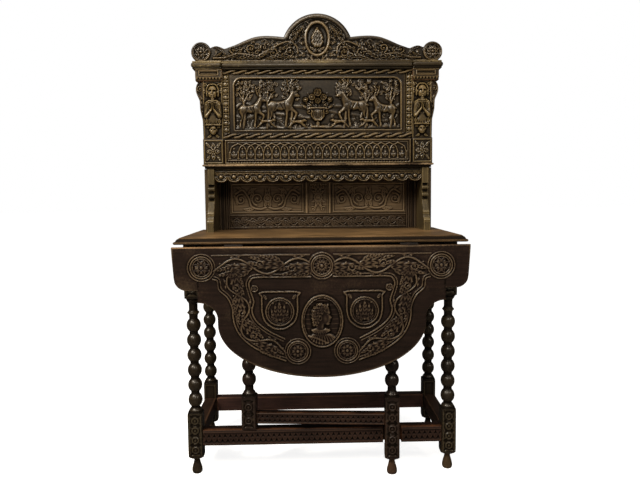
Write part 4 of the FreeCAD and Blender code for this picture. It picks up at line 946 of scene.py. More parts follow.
def tree(face, foot, height, spread, base, seed):
    """A trunk under a crown of overlapping leaves."""
    picks = np.random.default_rng(seed)
    x, z = foot
    trunk = smooth_line([(x - 3, z), (x + 3, z + height * 0.3), (x - 2, z + height * 0.55),
                         (x + 2, z + height * 0.8)])
    face.ridge(trunk, 6.0, 7, taper=0.5, base=base)
    for hand in HANDS:
        branch = smooth_line([(x, z + height * 0.5), (x + hand * spread * 0.4, z + height * 0.66),
                              (x + hand * spread * 0.8, z + height * 0.72)])
        face.ridge(branch, 3.2, 6, taper=0.5, base=base)
    for _ in range(46):
        angle, reach = picks.uniform(0, 2 * math.pi), picks.uniform(0, 1) ** 0.6
        cx = x + spread * reach * math.cos(angle)
        cz = z + height * 0.74 + height * 0.24 * reach * math.sin(angle)
        lean = picks.uniform(-1.4, 1.4)
        tip = (cx + 17 * math.sin(lean), cz + 17 * math.cos(lean))
        face.leaf((cx, cz), tip, 5.4, 4.0 + 4.5 * (1 - reach), base=base, veins=2)


def parkland(face, x0, x1, z0, z1, base):
    """Stags and hounds among trees, on both sides of an urn of flowers, over broken ground."""
    picks = np.random.default_rng(4)
    height = z1 - z0
    for level, sway in ((0.46, 11), (0.30, 17)):
        face.ridge([(x, z0 + height * level + 9 * math.sin(x / sway / 2) + 4 * math.sin(x / sway))
                    for x in np.arange(x0, x1, 6)], 6, 1.5, base=base)
    undergrowth = (x0 + 8, x1 - 8, z0 + 14, z0 + height * 0.34)
    face.thicket(undergrowth, lambda x, z: abs(x) > 52, 17, 1.6, 9, base=base)
    for x, spread, seed in ((x0 + 34, 36, 1), (x0 + 116, 32, 2), (x0 + 196, 28, 7), (x1 - 34, 36, 3),
                            (x1 - 120, 32, 5), (x1 - 194, 28, 8)):
        tree(face, (x, z0 + 8), height * 0.97, spread, base, seed)
    ground = [(x, z0 + 7 + 3 * math.sin(x / 31) + 2 * math.sin(x / 9)) for x in np.arange(x0, x1, 8)]
    face.ridge(ground, 9, 5, base=base)
    for x, hand, size in ((-285, 1, 1.16), (285, -1, 1.16), (-190, 1, 1.36), (190, -1, 1.36)):
        stag(face, (x, z0 + 8), hand, size, base)
    for x, rise, hand in ((-206, 8, 1), (206, 8, -1), (-100, 6, 1), (104, 6, -1)):
        hound(face, (x, z0 + rise), hand, 0.62, base + 2)
    urn(face, (0, z0 + 6), base)
    for _ in range(110):
        x = picks.uniform(x0 + 6, x1 - 6)
        z = z0 + picks.uniform(3, 12)
        lean = picks.uniform(-7, 7)
        face.leaf((x, z), (x + lean, z + picks.uniform(9, 18)), 2.8, 5.5, base=base, veins=1)


def urn(face, foot, base):
    """A gadrooned urn that holds a spray of flowers and leaves."""
    x, z = foot
    face.limb((x - 20, z + 6), (x + 20, z + 6), 5, 5, 7, base)
    face.limb((x, z + 8), (x, z + 26), 9, 5, 7, base)
    face.dome((x, z + 50), 26, 9.5, base, tall=0.95)
    for step in range(-3, 4):
        rib = smooth_line([(x + step * 3.0, z + 28), (x + step * 7.0, z + 44), (x + step * 6.4, z + 60)])
        face.ridge(rib, 2.8, 11, base=base)
    face.limb((x - 22, z + 70), (x + 22, z + 70), 4.5, 4.5, 9, base)
    for hand in HANDS:
        face.scroll((x + hand * 30, z + 58), 11, 1.2, math.pi / 2, 2.4, 7, hand=hand, base=base)
        for reach, rise, bow in ((16, 52, 2), (34, 46, 6), (50, 30, 9), (60, 12, 11), (8, 62, 1)):
            tip = (x + hand * reach, z + 76 + rise)
            face.leaf((x + hand * 3, z + 74), tip, 6, 7.5, bow=-hand * bow, base=base)
        face.rosette((x + hand * 20, z + 106), 10, 7, 8, floor=base)
        face.rosette((x + hand * 42, z + 98), 8, 6, 7, floor=base)
    face.rosette((x, z + 122), 12, 8, 9, floor=base)
    face.rosette((x, z + 94), 9, 7, 9, floor=base)


def frieze():
    low, high = node_box("frieze_board")

    def carve(face):
        z0, z1 = low[2] + 14, high[2] - 13
        face.frame(low[0] + 6, high[0] - 6, low[2] + 5, high[2] - 6, 3.0, 2.8)
        face.frame(low[0] + 14, high[0] - 14, z0, z1, 1.6, 1.8)
        for x in np.arange(low[0] + 18, high[0] - 14, 9.5):
            face.groove([(x, low[2] + 7.5), (x, low[2] + 11)], 2.6, 3.0)
        tracery(face, low[0] + 20, high[0] - 20, z0 + 3, z1 - 3)

    carve_solid("frieze_board", HOOD_OAK, carve, (1.45, 1.35), 1.5, name="carved_frieze", edge=1.5, rub=0.2)


def tracery(face, x0, x1, z0, z1):
    """Interlaced pointed arches on slim shafts, with leaf sprays in their heads."""
    count = 21
    pitch = (x1 - x0) / count
    mid = z0 + (z1 - z0) * 0.44
    bend = mid + (z1 - mid) * 0.62
    for index in range(count + 1):
        x = x0 + index * pitch
        face.limb((x, z0 + 2), (x, mid), 2.6, 2.2, 3.0)
        face.dome((x, z0 + 3), 4.2, 3.2, tall=0.6)
        face.dome((x, mid), 3.4, 3.6, tall=0.7)
        if index < count - 1:
            crown = x + pitch
            left = smooth_line([(x, mid), (x + pitch * 0.28, bend), (crown, z1)])
            right = smooth_line([(crown + pitch, mid), (crown + pitch * 0.72, bend), (crown, z1)])
            face.ridge(left, 2.2, 3.0)
            face.ridge(right, 2.2, 3.4)
        if index < count:
            centre = x + pitch / 2
            face.leaf((centre, z0 + 4), (centre, mid + 6), 4.4, 3.0, veins=3)
            for hand in HANDS:
                face.leaf((centre, z0 + 8), (centre + hand * 9, mid - 3), 3.0, 2.6, bow=-hand * 2)
            face.dome((centre, mid + (z1 - mid) * 0.42), 3.4, 3.0)


def corner_blocks():
    """Squares with a four-petalled flower and leaves in the corners."""
    for side in SIDES:
        node = f"corner_block_{side}"
        low, high = node_box(node)
        centre = (low + high) / 2

        def carve(face):
            face.x = face.x - centre[0]
            face.z = face.z - centre[2]
            half = (high[2] - low[2]) / 2
            face.frame(-30, 30, 6 - half, half - 6, 2.4, 2.6)
            for angle in np.arange(4) * math.pi / 2:
                c, s = math.cos(angle), math.sin(angle)
                face.leaf((3 * c, 3 * s), (24 * c, (half - 14) * s), 10, 3.6, veins=2)
                c, s = c - s, s + c
                face.leaf((12 * c, 14 * s), (26 * c, (half - 11) * s), 5.0, 3.2, veins=3)
            face.ring((0, 0), 7.5, 1.8, 4.2)
            face.dome((0, 0), 4.5, 5.0)

        carve_solid(node, HOOD_OAK_UPRIGHT, carve, (1.1,), 1.5, edge=1.8)


def twisted_mouldings():
    """Rope-like mouldings, with a leaf in each bay of the twist."""
    turns = 16
    for node in ("twist_moulding_lower", "twist_moulding_upper"):
        low, high = node_box(node)
        middle, half = (low[2] + high[2]) / 2, (high[2] - low[2]) / 2
        pitch = (high[0] - low[0]) / turns

        def carve(face):
            for index in range(turns):
                x = low[0] + (index + 0.5) * pitch
                strand = smooth_line([(x + pitch * along, middle + half * up) for along, up in (
                    (-0.52, -0.55), (-0.2, -0.35), (0.2, 0.35), (0.52, 0.55))])
                face.ridge(strand, half * 0.5, 7.0)
                for hand in HANDS:
                    face.leaf((x - hand * pitch * 0.2, middle + hand * half * 0.8),
                              (x - hand * pitch * 0.6, middle + hand * half * 0.1), half * 0.3, 4.5)

        carve_solid(node, HOOD_OAK, carve, (1.3,), 6.5, rows=17, edge=0.6, rub=0.3, soft=4, tone=3.2)


def side_mouldings():
    """Upright mouldings of long beads under pairs of leaves."""
    count = 9
    for side in SIDES:
        node = f"side_moulding_{side}"
        low, high = node_box(node)
        middle = (low[0] + high[0]) / 2
        pitch = (high[2] - low[2]) / count

        def carve(face):
            face.x = face.x - middle
            for index in range(count):
                z = low[2] + (index + 0.5) * pitch
                face.dome((0, z), 7.0, 5.0, tall=pitch / 2 / 7.0 * 0.82)
                for hand in HANDS:
                    face.leaf((hand * 1.5, z - 7), (hand * 7.5, z + 8), 3.0, 4.4, bow=-hand * 1.5)
                face.limb((-6.5, z - pitch / 2), (6.5, z - pitch / 2), 2.2, 2.2, 4.2)
            for hand in HANDS:
                face.ridge([(hand * 9.3, low[2]), (hand * 9.3, high[2])], 1.2, 3.6)

        carve_solid(node, HOOD_OAK_UPRIGHT, carve, (1.0, 1.2), 5, edge=0.6, rub=0.2)


def calm_face(face, centre, size, base, height):
    """A plain face seen from the front, on even thirds."""
    def spot(dx, dz):
        return centre[0] + dx * size, centre[1] + dz * size

    def dome(dx, dz, radius, rise, tall=1.0):
        face.dome(spot(dx, dz), radius * size, rise, base, tall=tall)

    dome(0, 0, 10, height, tall=1.32)
    for hand in HANDS:
        dome(hand * 4.3, -3.2, 4.2, height * 0.98, tall=1.1)
        brow = smooth_line([spot(hand * 1.2, 3.9), spot(hand * 4.2, 4.9), spot(hand * 7.0, 3.4)])
        face.ridge(brow, 1.0 * size, height * 0.14, base=base + height * 0.93)
        face.groove([spot(hand * 1.8, 2.0), spot(hand * 6.2, 2.0)], 2.0 * size, height * 0.22)
        dome(hand * 4.0, 1.9, 1.7, height * 0.93, tall=0.7)
        dome(hand * 9.6, 0.4, 2.0, height * 0.62, tall=1.6)
    face.limb(spot(0, 3.2), spot(0, -2.0), 1.0 * size, 1.9 * size, height * 0.28, base + height * 0.92)
    lip = 0.75 * size
    for rise, width in ((-5.2, 2.9), (-6.5, 2.3)):
        face.limb(spot(-width, rise), spot(width, rise), lip, lip, height * 0.14, base + height * 0.86)
    dome(0, -9.6, 3.2, height * 0.85)


def pilaster_figure(face, bottom, top):
    """A half figure with folded hands over a tasselled hem, and below it a face in a wreath of leaves."""
    fold = face.mirrored()
    fold.ridge([(31, bottom + 2), (31, top - 2)], 1.6, 2.4)
    fold.limb((18, top - 78), (22, top - 118), 11, 9, 10)
    fold.limb((0, top - 76), (0, top - 132), 21, 18, 9)
    fold.limb((22, top - 118), (5, top - 98), 8, 5.5, 15)
    for step in range(4):
        fold.limb((4.5 - step * 0.9, top - 100 + step * 1.5), (1.6, top - 82 + step * 2.2), 2.2, 1.5,
                  17 - step)
    for step in range(4):
        sleeve = smooth_line([(22 - step * 5, top - 72), (25 - step * 5, top - 92),
                              (20 - step * 5, top - 112)])
        fold.ridge(sleeve, 1.8, 12.5 - step * 0.4)
    fold.ridge(smooth_line([(0, top - 70), (12, top - 67), (22, top - 74)]), 3.4, 12)
    fold.ridge(smooth_line([(0, top - 76), (12, top - 73), (24, top - 82)]), 2.6, 11.5)
    face.limb((0, top - 66), (0, top - 56), 8.5, 9, 11)
    calm_face(face, (0, top - 38), 1.7, 1.0, 16)
    fold.ridge(smooth_line([(0, top - 11), (12, top - 14), (20, top - 30), (19, top - 50)]), 2.6, 8)
    fold.leaf((26, top - 22), (24, top - 46), 4.5, 4.5, bow=3)
    fold.scroll((26, top - 14), 7, 1.2, math.pi, 1.7, 4, hand=-1)
    for step in range(5):
        tassel = smooth_line([(step * 5.5, top - 128), (step * 5.8 + 1, top - 138), (step * 5.0, top - 147)])
        fold.ridge(tassel, 2.2, 9 - step * 0.6)
    face.limb((-24, top - 148), (24, top - 148), 3.2, 3.2, 8)
    calm_face(face, (0, bottom + 29), 1.22, 0.5, 12)
    wreath = (0, bottom + 31)
    for step in range(5):
        angle = math.radians(20 + step * 32)
        fold.leaf(bow_line(wreath, 13, angle, 15), bow_line(wreath, 25, angle, 23), 4.2, 6.5, bow=2)
    fold.leaf((8, bottom + 14), (22, bottom + 5), 4.4, 6, bow=-2)


def pilasters():
    for side in SIDES:
        node = f"pilaster_{side}"
        low, high = node_box(node)
        front = node_box(f"cabinet_end_{side}")[0][1] - HOOD_PROUD
        middle = (low[0] + high[0]) / 2
        bottom, top = low[2], high[2]

        def carve(face):
            face.x = face.x - middle
            pilaster_figure(face, bottom, top)

        pitch = 0.95
        piece = carved_board(even(low[0], high[0], pitch), bottom, top, int((top - bottom) / pitch),
                             front + 1.0, high[1], carve, edge=1.4, rub=0.4, soft=4)
        finish_piece(piece, f"carved_{node}", "frame", HOOD_OAK_UPRIGHT, node, angle=68)


def capitals():
    """Blocks with a toothed fringe and a sunk field, and a plain return along the hood's end."""
    for side, hand in SIDES.items():
        node = f"capital_{side}"
        low, high = node_box(node)
        centre = (low[0] + high[0]) / 2
        z0, z1 = low[2], high[2]

        def carve(face):
            teeth = np.abs(((face.x - low[0]) / 11.0) % 1.0 - 0.5) * 2
            face.height = -3.5 + 3.5 * np.clip((face.z - z0 - 2 - 8 * teeth) / 1.5, 0, 1)
            face.height[(np.abs(face.x - centre) < 31) & (face.z > z0 + 19) & (face.z < z1 - 7)] = -3.0
            face.frame(centre - 32, centre + 32, z0 + 18, z1 - 6, 1.8, 1.6)
            for level in (z0 + 24, z0 + 30):
                face.ridge([(centre - 27, level), (centre + 27, level)], 1.2, 0.2, base=-1.6)
            face.ridge([(low[0], z1 - 2), (high[0], z1 - 2)], 2.0, 1.6)

        columns = even(low[0], high[0], 1.1)
        front = carved_board(columns, z0, z1, 38, low[1] + 1.5, low[1] + 34, carve, edge=1.6)
        near, far = sorted((hand * HOOD_HALF, hand * (HOOD_HALF + 23)))
        back = block((near, low[1] + 30, z0), (far, high[1], z1), soften=1.5)
        store(back, "relief", np.full(len(back.data.vertices), 0.5))
        finish_piece(joined([front, back]), f"carved_{node}", "frame", HOOD_OAK, node, angle=60)


def side_consoles():
    """Scrolled brackets against the ends of the hood."""
    for side, hand in SIDES.items():
        node = f"side_console_{side}"
        low, high = node_box(node)
        z0, tall = low[2], high[2] - low[2]
        curve = smooth_line([(2.4, 0), (2.4, 30), (3.5, 62), (8, 84), (11.5, 104), (11.8, 116), (12.5, 130),
                             (21, 150), (25, tall - 28), (21, tall - 10), (13, tall - 1.5), (12, tall)],
                            steps=10)
        waist = np.argmax(curve[:, 0])
        columns = even(HOOD_HALF, HOOD_HALF + 24.5, 0.8)
        reach = columns - HOOD_HALF
        rising, falling = curve[:waist + 1], curve[waist:]
        foot = np.interp(reach, np.maximum.accumulate(rising[:, 0]), rising[:, 1])
        head = np.interp(-reach, np.maximum.accumulate(-falling[:, 0]), falling[:, 1])
        foot[reach <= 2.4] = 0
        head[reach <= 12] = tall
        if hand < 0:
            columns, foot, head = -columns[::-1], foot[::-1], head[::-1]

        def carve(face):
            board = Carving(np.abs(face.x) - HOOD_HALF, face.z - z0, height=face.height)
            board.ridge(curve[2:-3] - np.array([2.6, 0]), 1.7, 2.6)
            board.scroll((11, tall - 27), 10, 1.3, math.pi * 0.6, 1.8, 3.0, hand=-1)
            for step in range(5):
                board.leaf((2, tall - 62 - step * 15), (15 - step * 1.6, tall - 40 - step * 17), 4.0, 3.0,
                           bow=-2, veins=2)

        piece = carved_board(columns, z0 + foot, z0 + head, 150, low[1] + 2.5, high[1], carve, edge=1.4,
                             rub=0.5)
        finish_piece(piece, f"shaped_{node}", "frame", CONSOLE_OAK, node, angle=60)


def cornice():
    """A thick board with a rounded nose over a narrow fillet, broken forward over the pilasters."""
    low, high = node_box("cornice")
    back, z0, inner = high[1], low[2], 325
    parts = []
    for x0, x1, front in ((low[0], -inner, low[1]), (-inner, inner, low[1] + 10), (inner, high[0], low[1])):
        in0, in1 = x0 + (4 if x0 == low[0] else 0), x1 - (4 if x1 == high[0] else 0)
        parts.append(block((in0, front + 6, z0), (in1, back, z0 + 7), soften=1.6, rub=0.3))
        parts.append(block((x0, front, z0 + 5), (x1, back, z0 + 20), soften=6.0, segments=7, rub=0.3))
        parts.append(block((in0, front + 4, z0 + 19), (in1, back, high[2]), soften=2.4, segments=4, rub=0.9))
    board = joined(parts)
    level = coordinates(board)[:, 2] / MM - z0
    # Painted shade under the rounded nose: darkest on the fillet below it
    store(board, "relief", np.where(level < 8, -0.35, np.where(level < 14, -0.12, 0.0)))
    finish_piece(board, "moulded_cornice", "frame", MOULDING_OAK, "cornice", angle=45)


def crest():
    """An arch over a medallion, wings that fall away on both sides, and a rosette at each end."""
    base = node_box("crest")[0][2]
    front = node_box("cabinet_end_left")[0][1] - HOOD_PROUD
    wheel_x, wheel_z, wheel_r = 395.0, 33.0, 34.0
    arch_z, arch_r = 39, 122.0
    columns = both_ways(np.concatenate([even(0, 372, 1.7), even(373, wheel_x + wheel_r - 0.3, 1.1)]))
    x = np.abs(columns)
    skyline = smooth_line([(108, 82), (140, 85.5), (180, 87), (215, 82.5), (249, 70), (275, 58.5), (302, 49),
                           (316, 45), (329, 49.5), (344, 53), (358, 50), (366, 46)], steps=10)
    top = np.interp(x, skyline[:, 0], skyline[:, 1])
    arch = x < 113
    top[arch] = np.maximum(top[arch], arch_z + np.sqrt(np.clip(arch_r ** 2 - x[arch] ** 2, 0, None)))
    swing = np.sqrt(np.clip(wheel_r ** 2 - (x - wheel_x) ** 2, 0, None))
    wheel = x > wheel_x - wheel_r
    top[wheel] = np.maximum(wheel_z + swing, np.where(x < wheel_x - 29, top, 0))[wheel]
    foot = np.where(x > wheel_x, np.clip(wheel_z - swing, 0, None), 0)

    def ground(px, pz):
        under_arch = math.hypot(px, pz - arch_z) < 100 and px < 108
        under_wings = 60 < px < 356 and 4 < pz < np.interp(px, skyline[:, 0], skyline[:, 1]) - 14
        return under_arch or under_wings

    def carve(face):
        face.z = face.z - base
        fold = face.mirrored()
        fold.thicket((6, 356, 6, 138), ground, 13.5, 4.2, 3)
        fold.ridge(skyline[:52] - np.array([0, 7.0]), 6.5, 3.4)
        angles = np.linspace(math.radians(22), math.radians(158), 60)
        face.ridge(bow_line((0, arch_z), 113, angles), 7.5, 4.0)
        face.ridge(bow_line((0, arch_z), 102, angles), 1.8, 2.6)
        leafy_scrolls(fold)
        medallion(face, (0, 76))
        fold.leaf((318, 34), (356, 50), 8, 5, bow=5, veins=4)
        fold.rosette((wheel_x, wheel_z), wheel_r * 0.93, 8, 5.0)
        fold.ring((wheel_x, wheel_z), 29, 2.6, 5.2)
        face.ridge([(-372, 3.5), (372, 3.5)], 3.0, 3.2)

    piece = carved_board(columns, base + foot, base + top, 98, front + 2.5, front + 22, carve, edge=3.0,
                         rub=0.5, soft=4, tone=2.4)
    across, _, up = coordinates(piece).T / MM
    inset = base + np.interp(across, columns, top) - up
    tone = stored(piece, "relief")
    store(piece, "relief", np.where(inset < 13, tone * 0.4, tone))
    finish_piece(piece, "carved_crest", "frame", HOOD_OAK, "crest", angle=65)


def leafy_scrolls(fold):
    """Long leaves that sweep up to the medallion from leaf scrolls on each side."""
    stem = smooth_line([(352, 12), (312, 14), (276, 26), (240, 24), (206, 20), (170, 34), (132, 56), (98, 66),
                        (72, 52), (66, 28)])
    fold.ridge(stem, 4.4, 7.0, taper=0.3)
    for centre, radius, turns, start, hand in (((286, 40), 12, 1.3, -1.6, 1), ((226, 44), 15, 1.4, -1.4, 1),
                                               ((150, 28), 15, 1.4, 1.8, 1), ((92, 30), 17, 1.4, 1.8, -1)):
        fold.scroll(centre, radius, turns, start, 2.8, 7.5, hand=hand)
    for start, end, width, bow in (((300, 14), (252, 48), 7.5, 8), ((276, 12), (214, 38), 8.0, 8),
                                   ((250, 8), (186, 60), 9.0, 11), ((222, 10), (160, 48), 8.5, 8),
                                   ((200, 22), (128, 72), 9.5, 10), ((178, 8), (118, 40), 8.5, 7),
                                   ((148, 12), (84, 48), 8.5, 8), ((126, 40), (72, 82), 8.0, 8),
                                   ((122, 8), (62, 14), 6.5, -4), ((98, 62), (62, 104), 6.5, 6),
                                   ((84, 88), (44, 124), 5.5, 6), ((338, 10), (296, 26), 6.0, 5),
                                   ((348, 18), (322, 34), 5.0, 3)):
        fold.leaf(start, end, width, 9.0, bow=bow, veins=6)


def medallion(face, centre):
    """An oval with a pine cone in it, on a spray of leaves."""
    cx, cz = centre
    face.plate(centre, 45, 4.0, tall=1.36, bevel=3)
    face.sink(centre, 36, -1.5, tall=1.40)
    face.ring(centre, 40, 4.4, 3.0, tall=1.38, base=3.0)
    face.dome((cx, cz + 2), 21, 4.0, tall=1.5)
    for row in range(9):
        share = row / 8
        half = 22 * (1 - share ** 2) ** 0.6 * min(1.0, 0.7 + share)
        for step in np.arange(-3, 4) + 0.5 * (row % 2):
            if abs(step * 8.6) <= half:
                z = cz - 24 + 56 * share
                rise = 8.0 - abs(step) * 0.9
                face.leaf((cx + step * 8.6, z - 6), (cx + step * 8.0, z + 7), 4.6, rise, veins=0)
    for hand in HANDS:
        for reach, rise, width in ((28, -24, 5.5), (19, -42, 5.0)):
            tip = (cx + hand * reach, cz + rise)
            face.leaf((cx + hand * 2, cz - 34), tip, width, 5.6, bow=-hand * 5, veins=3)


def shelf():
    low, high = node_box("shelf_board")
    upper = block((low[0], low[1], low[2] + 8), high, soften=2.4, segments=4, rub=1.0)
    lower = block((low[0] + 7, low[1] + 8, low[2]), (high[0] - 7, high[1], low[2] + 9), soften=2.0, rub=0.0)
    board = joined([upper, lower])
    level = coordinates(board)[:, 2] / MM
    # Painted shade on the lower board under the nosing
    store(board, "relief", np.where(level < low[2] + 9.5, -0.45, 0.0))
    finish_piece(board, "shelf_with_nosing", "frame", SHELF_OAK, "shelf_board", angle=40)


def gallery_ends():
    for side in SIDES:
        node = f"gallery_end_{side}"
        low, high = node_box(node)
        # Rubbed edges: wear and a painted highlight
        piece = block(low, high, soften=1.6, rub=0.6)
        finish_piece(piece, f"plain_{node}", "frame", END_OAK_PAINTED_LIGHTER, node, angle=40)


def valance():
    low, high = node_box("scalloped_valance")
    lobes = 16
    pitch = (high[0] - low[0]) / lobes
    columns = even(low[0], high[0], 1.5)
    phase = ((columns - low[0]) / pitch) % 1.0
    bottom = low[2] + 9 * (1 - np.sin(math.pi * phase) ** 0.8)

    def carve(face):
        for index in range(lobes):
            x = low[0] + (index + 0.5) * pitch
            z = low[2] + 19
            turn = np.linspace(math.pi * 0.98, math.pi * 2.02, 15)
            face.ridge(bow_line((x, z), pitch * 0.46, turn, 15.5), 2.0, 2.8)
            face.ridge(bow_line((x, z), pitch * 0.33, turn, 10.5), 1.4, 2.0)
            face.dome((x, z + 1), 7.0, 5.2)
            for hand in HANDS:
                face.leaf((x + hand * 6, z + 4), (x + hand * 18, z + 9), 3.2, 2.8, bow=hand * 1.5)
        face.ridge([(low[0], low[2] + 31), (high[0], low[2] + 31)], 1.8, 2.6)
        face.ridge([(low[0], low[2] + 37), (high[0], low[2] + 37)], 1.4, 1.8)

    piece = carved_board(columns, bottom, high[2], 34, low[1] + 1.5, high[1], carve, edge=2.0)
    finish_piece(piece, "carved_valance", "frame", HOOD_OAK, "scalloped_valance", angle=65)


def brackets():
    """Shaped boards that carry the hood: two lobes above, a long sweep, and two lips above the foot."""
    for side in SIDES:
        node = f"bracket_{side}"
        low, high = node_box(node)
        back, z0, tall = high[1], low[2], 217
        head = low[1] + 38
        edge = [(head, tall), (head, 163), (head + 8, 161), (head + 8, 154)]
        for level in (147, 122):
            edge += [(head + 6 - 7.0 * math.sin(t), level + 6.5 * math.cos(t))
                     for t in np.linspace(0.2, math.pi - 0.2, 7)]
            edge += [(head + 9, level - 8), (head + 9, level - 15)]
        sweep = smooth_line([(head + 4, 104), (head - 2, 93), (head - 10, 80), (head - 17, 67)], steps=4)
        edge += [tuple(point) for point in sweep]
        edge += [(head - 21, 66), (head - 23, 62), (head - 21, 58), (head - 25, 55), (head - 26, 46),
                 (head - 31, 40), (head - 34, 39), (head - 36, 35), (head - 34, 31), (low[1], 29),
                 (low[1], 0)]
        outline = [(y, z0 + z) for y, z in edge] + [(back, z0), (back, z0 + tall)]
        piece = slab(outline, low[0], high[0], soften=1.6)
        _, y, z = coordinates(piece).T / MM
        # Painted shade in the step and notches under the head and lobes, painted highlight on the two lips
        painted_shade_and_highlight = np.zeros(len(z))
        for bottom, top, tone in ((153, 162, -0.55), (130, 140, -0.55), (105, 115, -0.55), (56, 67, 0.9),
                                  (29, 41, 0.9)):
            painted_shade_and_highlight[(z - z0 > bottom) & (z - z0 < top) & (y < head + 12)] = tone
        store(piece, "relief", painted_shade_and_highlight)
        finish_piece(piece, f"shaped_{node}", "frame", BRACKET_OAK, node, angle=35)


# Gallery
PANEL_LEAVES = (((10, 24), (8, 98), 9, 6), ((48, 22), (92, 20), 8, -6), ((64, 46), (60, 98), 8, 7),
                ((72, 70), (36, 94), 7, -5), ((94, 86), (118, 98), 6, 3), ((110, 34), (121, 66), 6, 3))


def gallery():
    """The framed back under the hood: two carved panels, stiles, a sill and a muntin."""
    for side, hand in SIDES.items():
        gallery_panel(f"gallery_panel_{side}")
        gallery_stile(f"gallery_stile_{side}", hand)
    gallery_sill()
    gallery_muntin()


def gallery_panel(node):
    low, high = node_box(node)
    x0, x1 = low[0] + 6, high[0] - 6
    z0, z1 = low[2] + 6, high[2] - 6
    middle = (x0 + x1) / 2

    def carve(face):
        face.frame(x0 + 7, x1 - 7, z0 + 6, z1 - 6, 2.4, 2.2)
        fold = Carving(np.abs(face.x - middle), face.z - z0, height=face.height)
        fold.ridge(smooth_line([(6, 22), (30, 17), (58, 26), (68, 56), (90, 86), (116, 74)]), 3.4, 2.6)
        fold.scroll((36, 54), 23, 1.5, -1.4, 3.0, 2.8)
        fold.scroll((97, 52), 20, 1.5, 1.9, 2.8, 2.8, hand=-1)
        for start, end, width, bow in PANEL_LEAVES:
            fold.leaf(start, end, width, 3.0, bow=bow, veins=5)
        fold.rosette((0, 56), 14, 8, 3.0)

    panel = carved_board(even(x0 - 5, x1 + 5, 1.5), z0 - 5, z1 + 5, int((z1 - z0 + 10) / 1.5), low[1] + 1.5,
                         high[1], carve, edge=0.8, rub=0.0)
    finish_piece(panel, f"carved_{node}", "frame", GALLERY_OAK_PAINTED_LIGHTER, node, angle=65)


def gallery_stile(node, hand):
    low, high = node_box(node)
    inner = low[0] if hand > 0 else high[0]

    def carve(face):
        for offset, width, rise in ((4, 2.4, 2.6), (11, 3.4, 3.4), (19, 2.0, 2.2), (34, 3.0, 2.6)):
            x = inner + hand * offset
            face.ridge([(x, low[2]), (x, high[2])], width, rise)

    carve_solid(node, PLAIN_OAK, carve, (1.6,), 1.5, name=f"moulded_{node}", rows=60, angle=60, edge=1.2,
                rub=0.5)


def gallery_sill():
    low, high = node_box("gallery_sill")
    z0 = low[2]

    def carve(face):
        for level, width in ((z0 + 52, 2.4), (z0 + 46, 1.4), (z0 + 8, 1.6)):
            face.ridge([(low[0], level), (high[0], level)], width, 2.2)
        face.foliage([(-314, z0 + 27), (316, z0 + 27)], 17, 30, 2.6)

    sill = carved_board(even(-322, 322, 1.5), z0, high[2], 38, low[1] + 1.0, high[1], carve, edge=1.0,
                        rub=0.4)
    finish_piece(sill, "carved_gallery_sill", "frame", SILL_OAK, "gallery_sill", angle=65)


def gallery_muntin():
    low, high = node_box("gallery_muntin")
    z0, z1 = node_box("gallery_sill")[1][2], node_box("gallery_lintel")[0][2]

    def carve(face):
        fold = face.mirrored()
        fold.ridge([(42, z0), (42, z1)], 4.6, 5.0)
        fold.ridge([(34, z0), (34, z1)], 1.4, 2.0)
        fold.rosette((0, z0 + 58), 15, 8, 3.4)
        for reach, rise, bow in ((14, 100, 3), (26, 84, 5), (27, 40, -4), (14, 16, -3)):
            fold.leaf((3, z0 + 58), (reach, z0 + rise), 6.5, 3.2, bow=bow, veins=3)
        for z in (z0 + 16, z0 + 96):
            fold.scroll((18, z), 9, 1.2, 1.0, 1.8, 3.0)
        for bead in along_line([(-26, z0 + 104), (28, z0 + 104)], 9):
            face.dome(bead, 3.0, 3.0)

    muntin = carved_board(even(-48.5, 48.5, 1.2), z0, z1, int((z1 - z0) / 1.2), low[1] + 1.5, high[1], carve,
                          edge=1.0, rub=0.3)
    finish_piece(muntin, "carved_gallery_muntin", "frame", GALLERY_OAK_PAINTED_LIGHTER, "gallery_muntin", angle=65)


# Table
# The worked edge of the top, from below: how far in from the outer face, and how high
TOP_EDGE = [(6, 0), (2.5, 0.6), (0.7, 2.2), (0, 4.4), (0.6, 6.6), (2.0, 8.0), (4.0, 8.6), (5.4, 8.7),
            (5.8, 9.4), (6.2, 10.6), (7.0, 12.2), (8.4, 14.2), (10.4, 16.0), (12.6, 17.4), (14.2, 18.2),
            (14.7, 19.0), (15.2, 19.6), (16.2, 20.0), (19.0, 20.0)]


def table_top():
    """A board whose front and ends are worked to a lip under a hollow; the back edge is square."""
    low, high = node_box("table_top")
    inset, rise = np.array(TOP_EDGE).T
    points = np.empty((4, len(inset), 3))
    for index, (x_hand, y_hand) in enumerate(((-1, -1), (1, -1), (1, 1), (-1, 1))):
        points[index, :, 0] = x_hand * (high[0] - inset)
        points[index, :, 1] = low[1] + inset if y_hand < 0 else high[1]
        points[index, :, 2] = low[2] + rise
    # Painted shade over the worked edge, darkest in the hollow
    hollow = np.interp(rise, [0, 3, 7, 8.6, 10, 17, 19.2, 20],
                       [-0.4, -0.24, -0.24, -0.5, -0.55, -0.5, -0.1, 0.0])
    # Wear and a painted highlight on the nose of the lip and along the top arris
    wear_and_highlight = np.interp(rise, [0, 4, 8, 18, 19.4, 20], [0.2, 0.8, 0.1, 0.1, 1.0, 0.6])
    top = woven_tube(points, relief=hollow, rubbed=wear_and_highlight)
    finish_piece(top, "moulded_table_top", "frame", TOP_OAK, "table_top", angle=35)


LEG_HALF = 23.0      # half the width of the square stick
SQUARE = 40.0        # a radius in a profile that leaves the stick square
CORNER_POWER = 18    # the higher, the sharper the corners of the square
FRONT_FACE = 3       # the quarters of a stick: right, back, left and front
FOOT_TOP = 52        # the turned foot ends here and is worn lighter


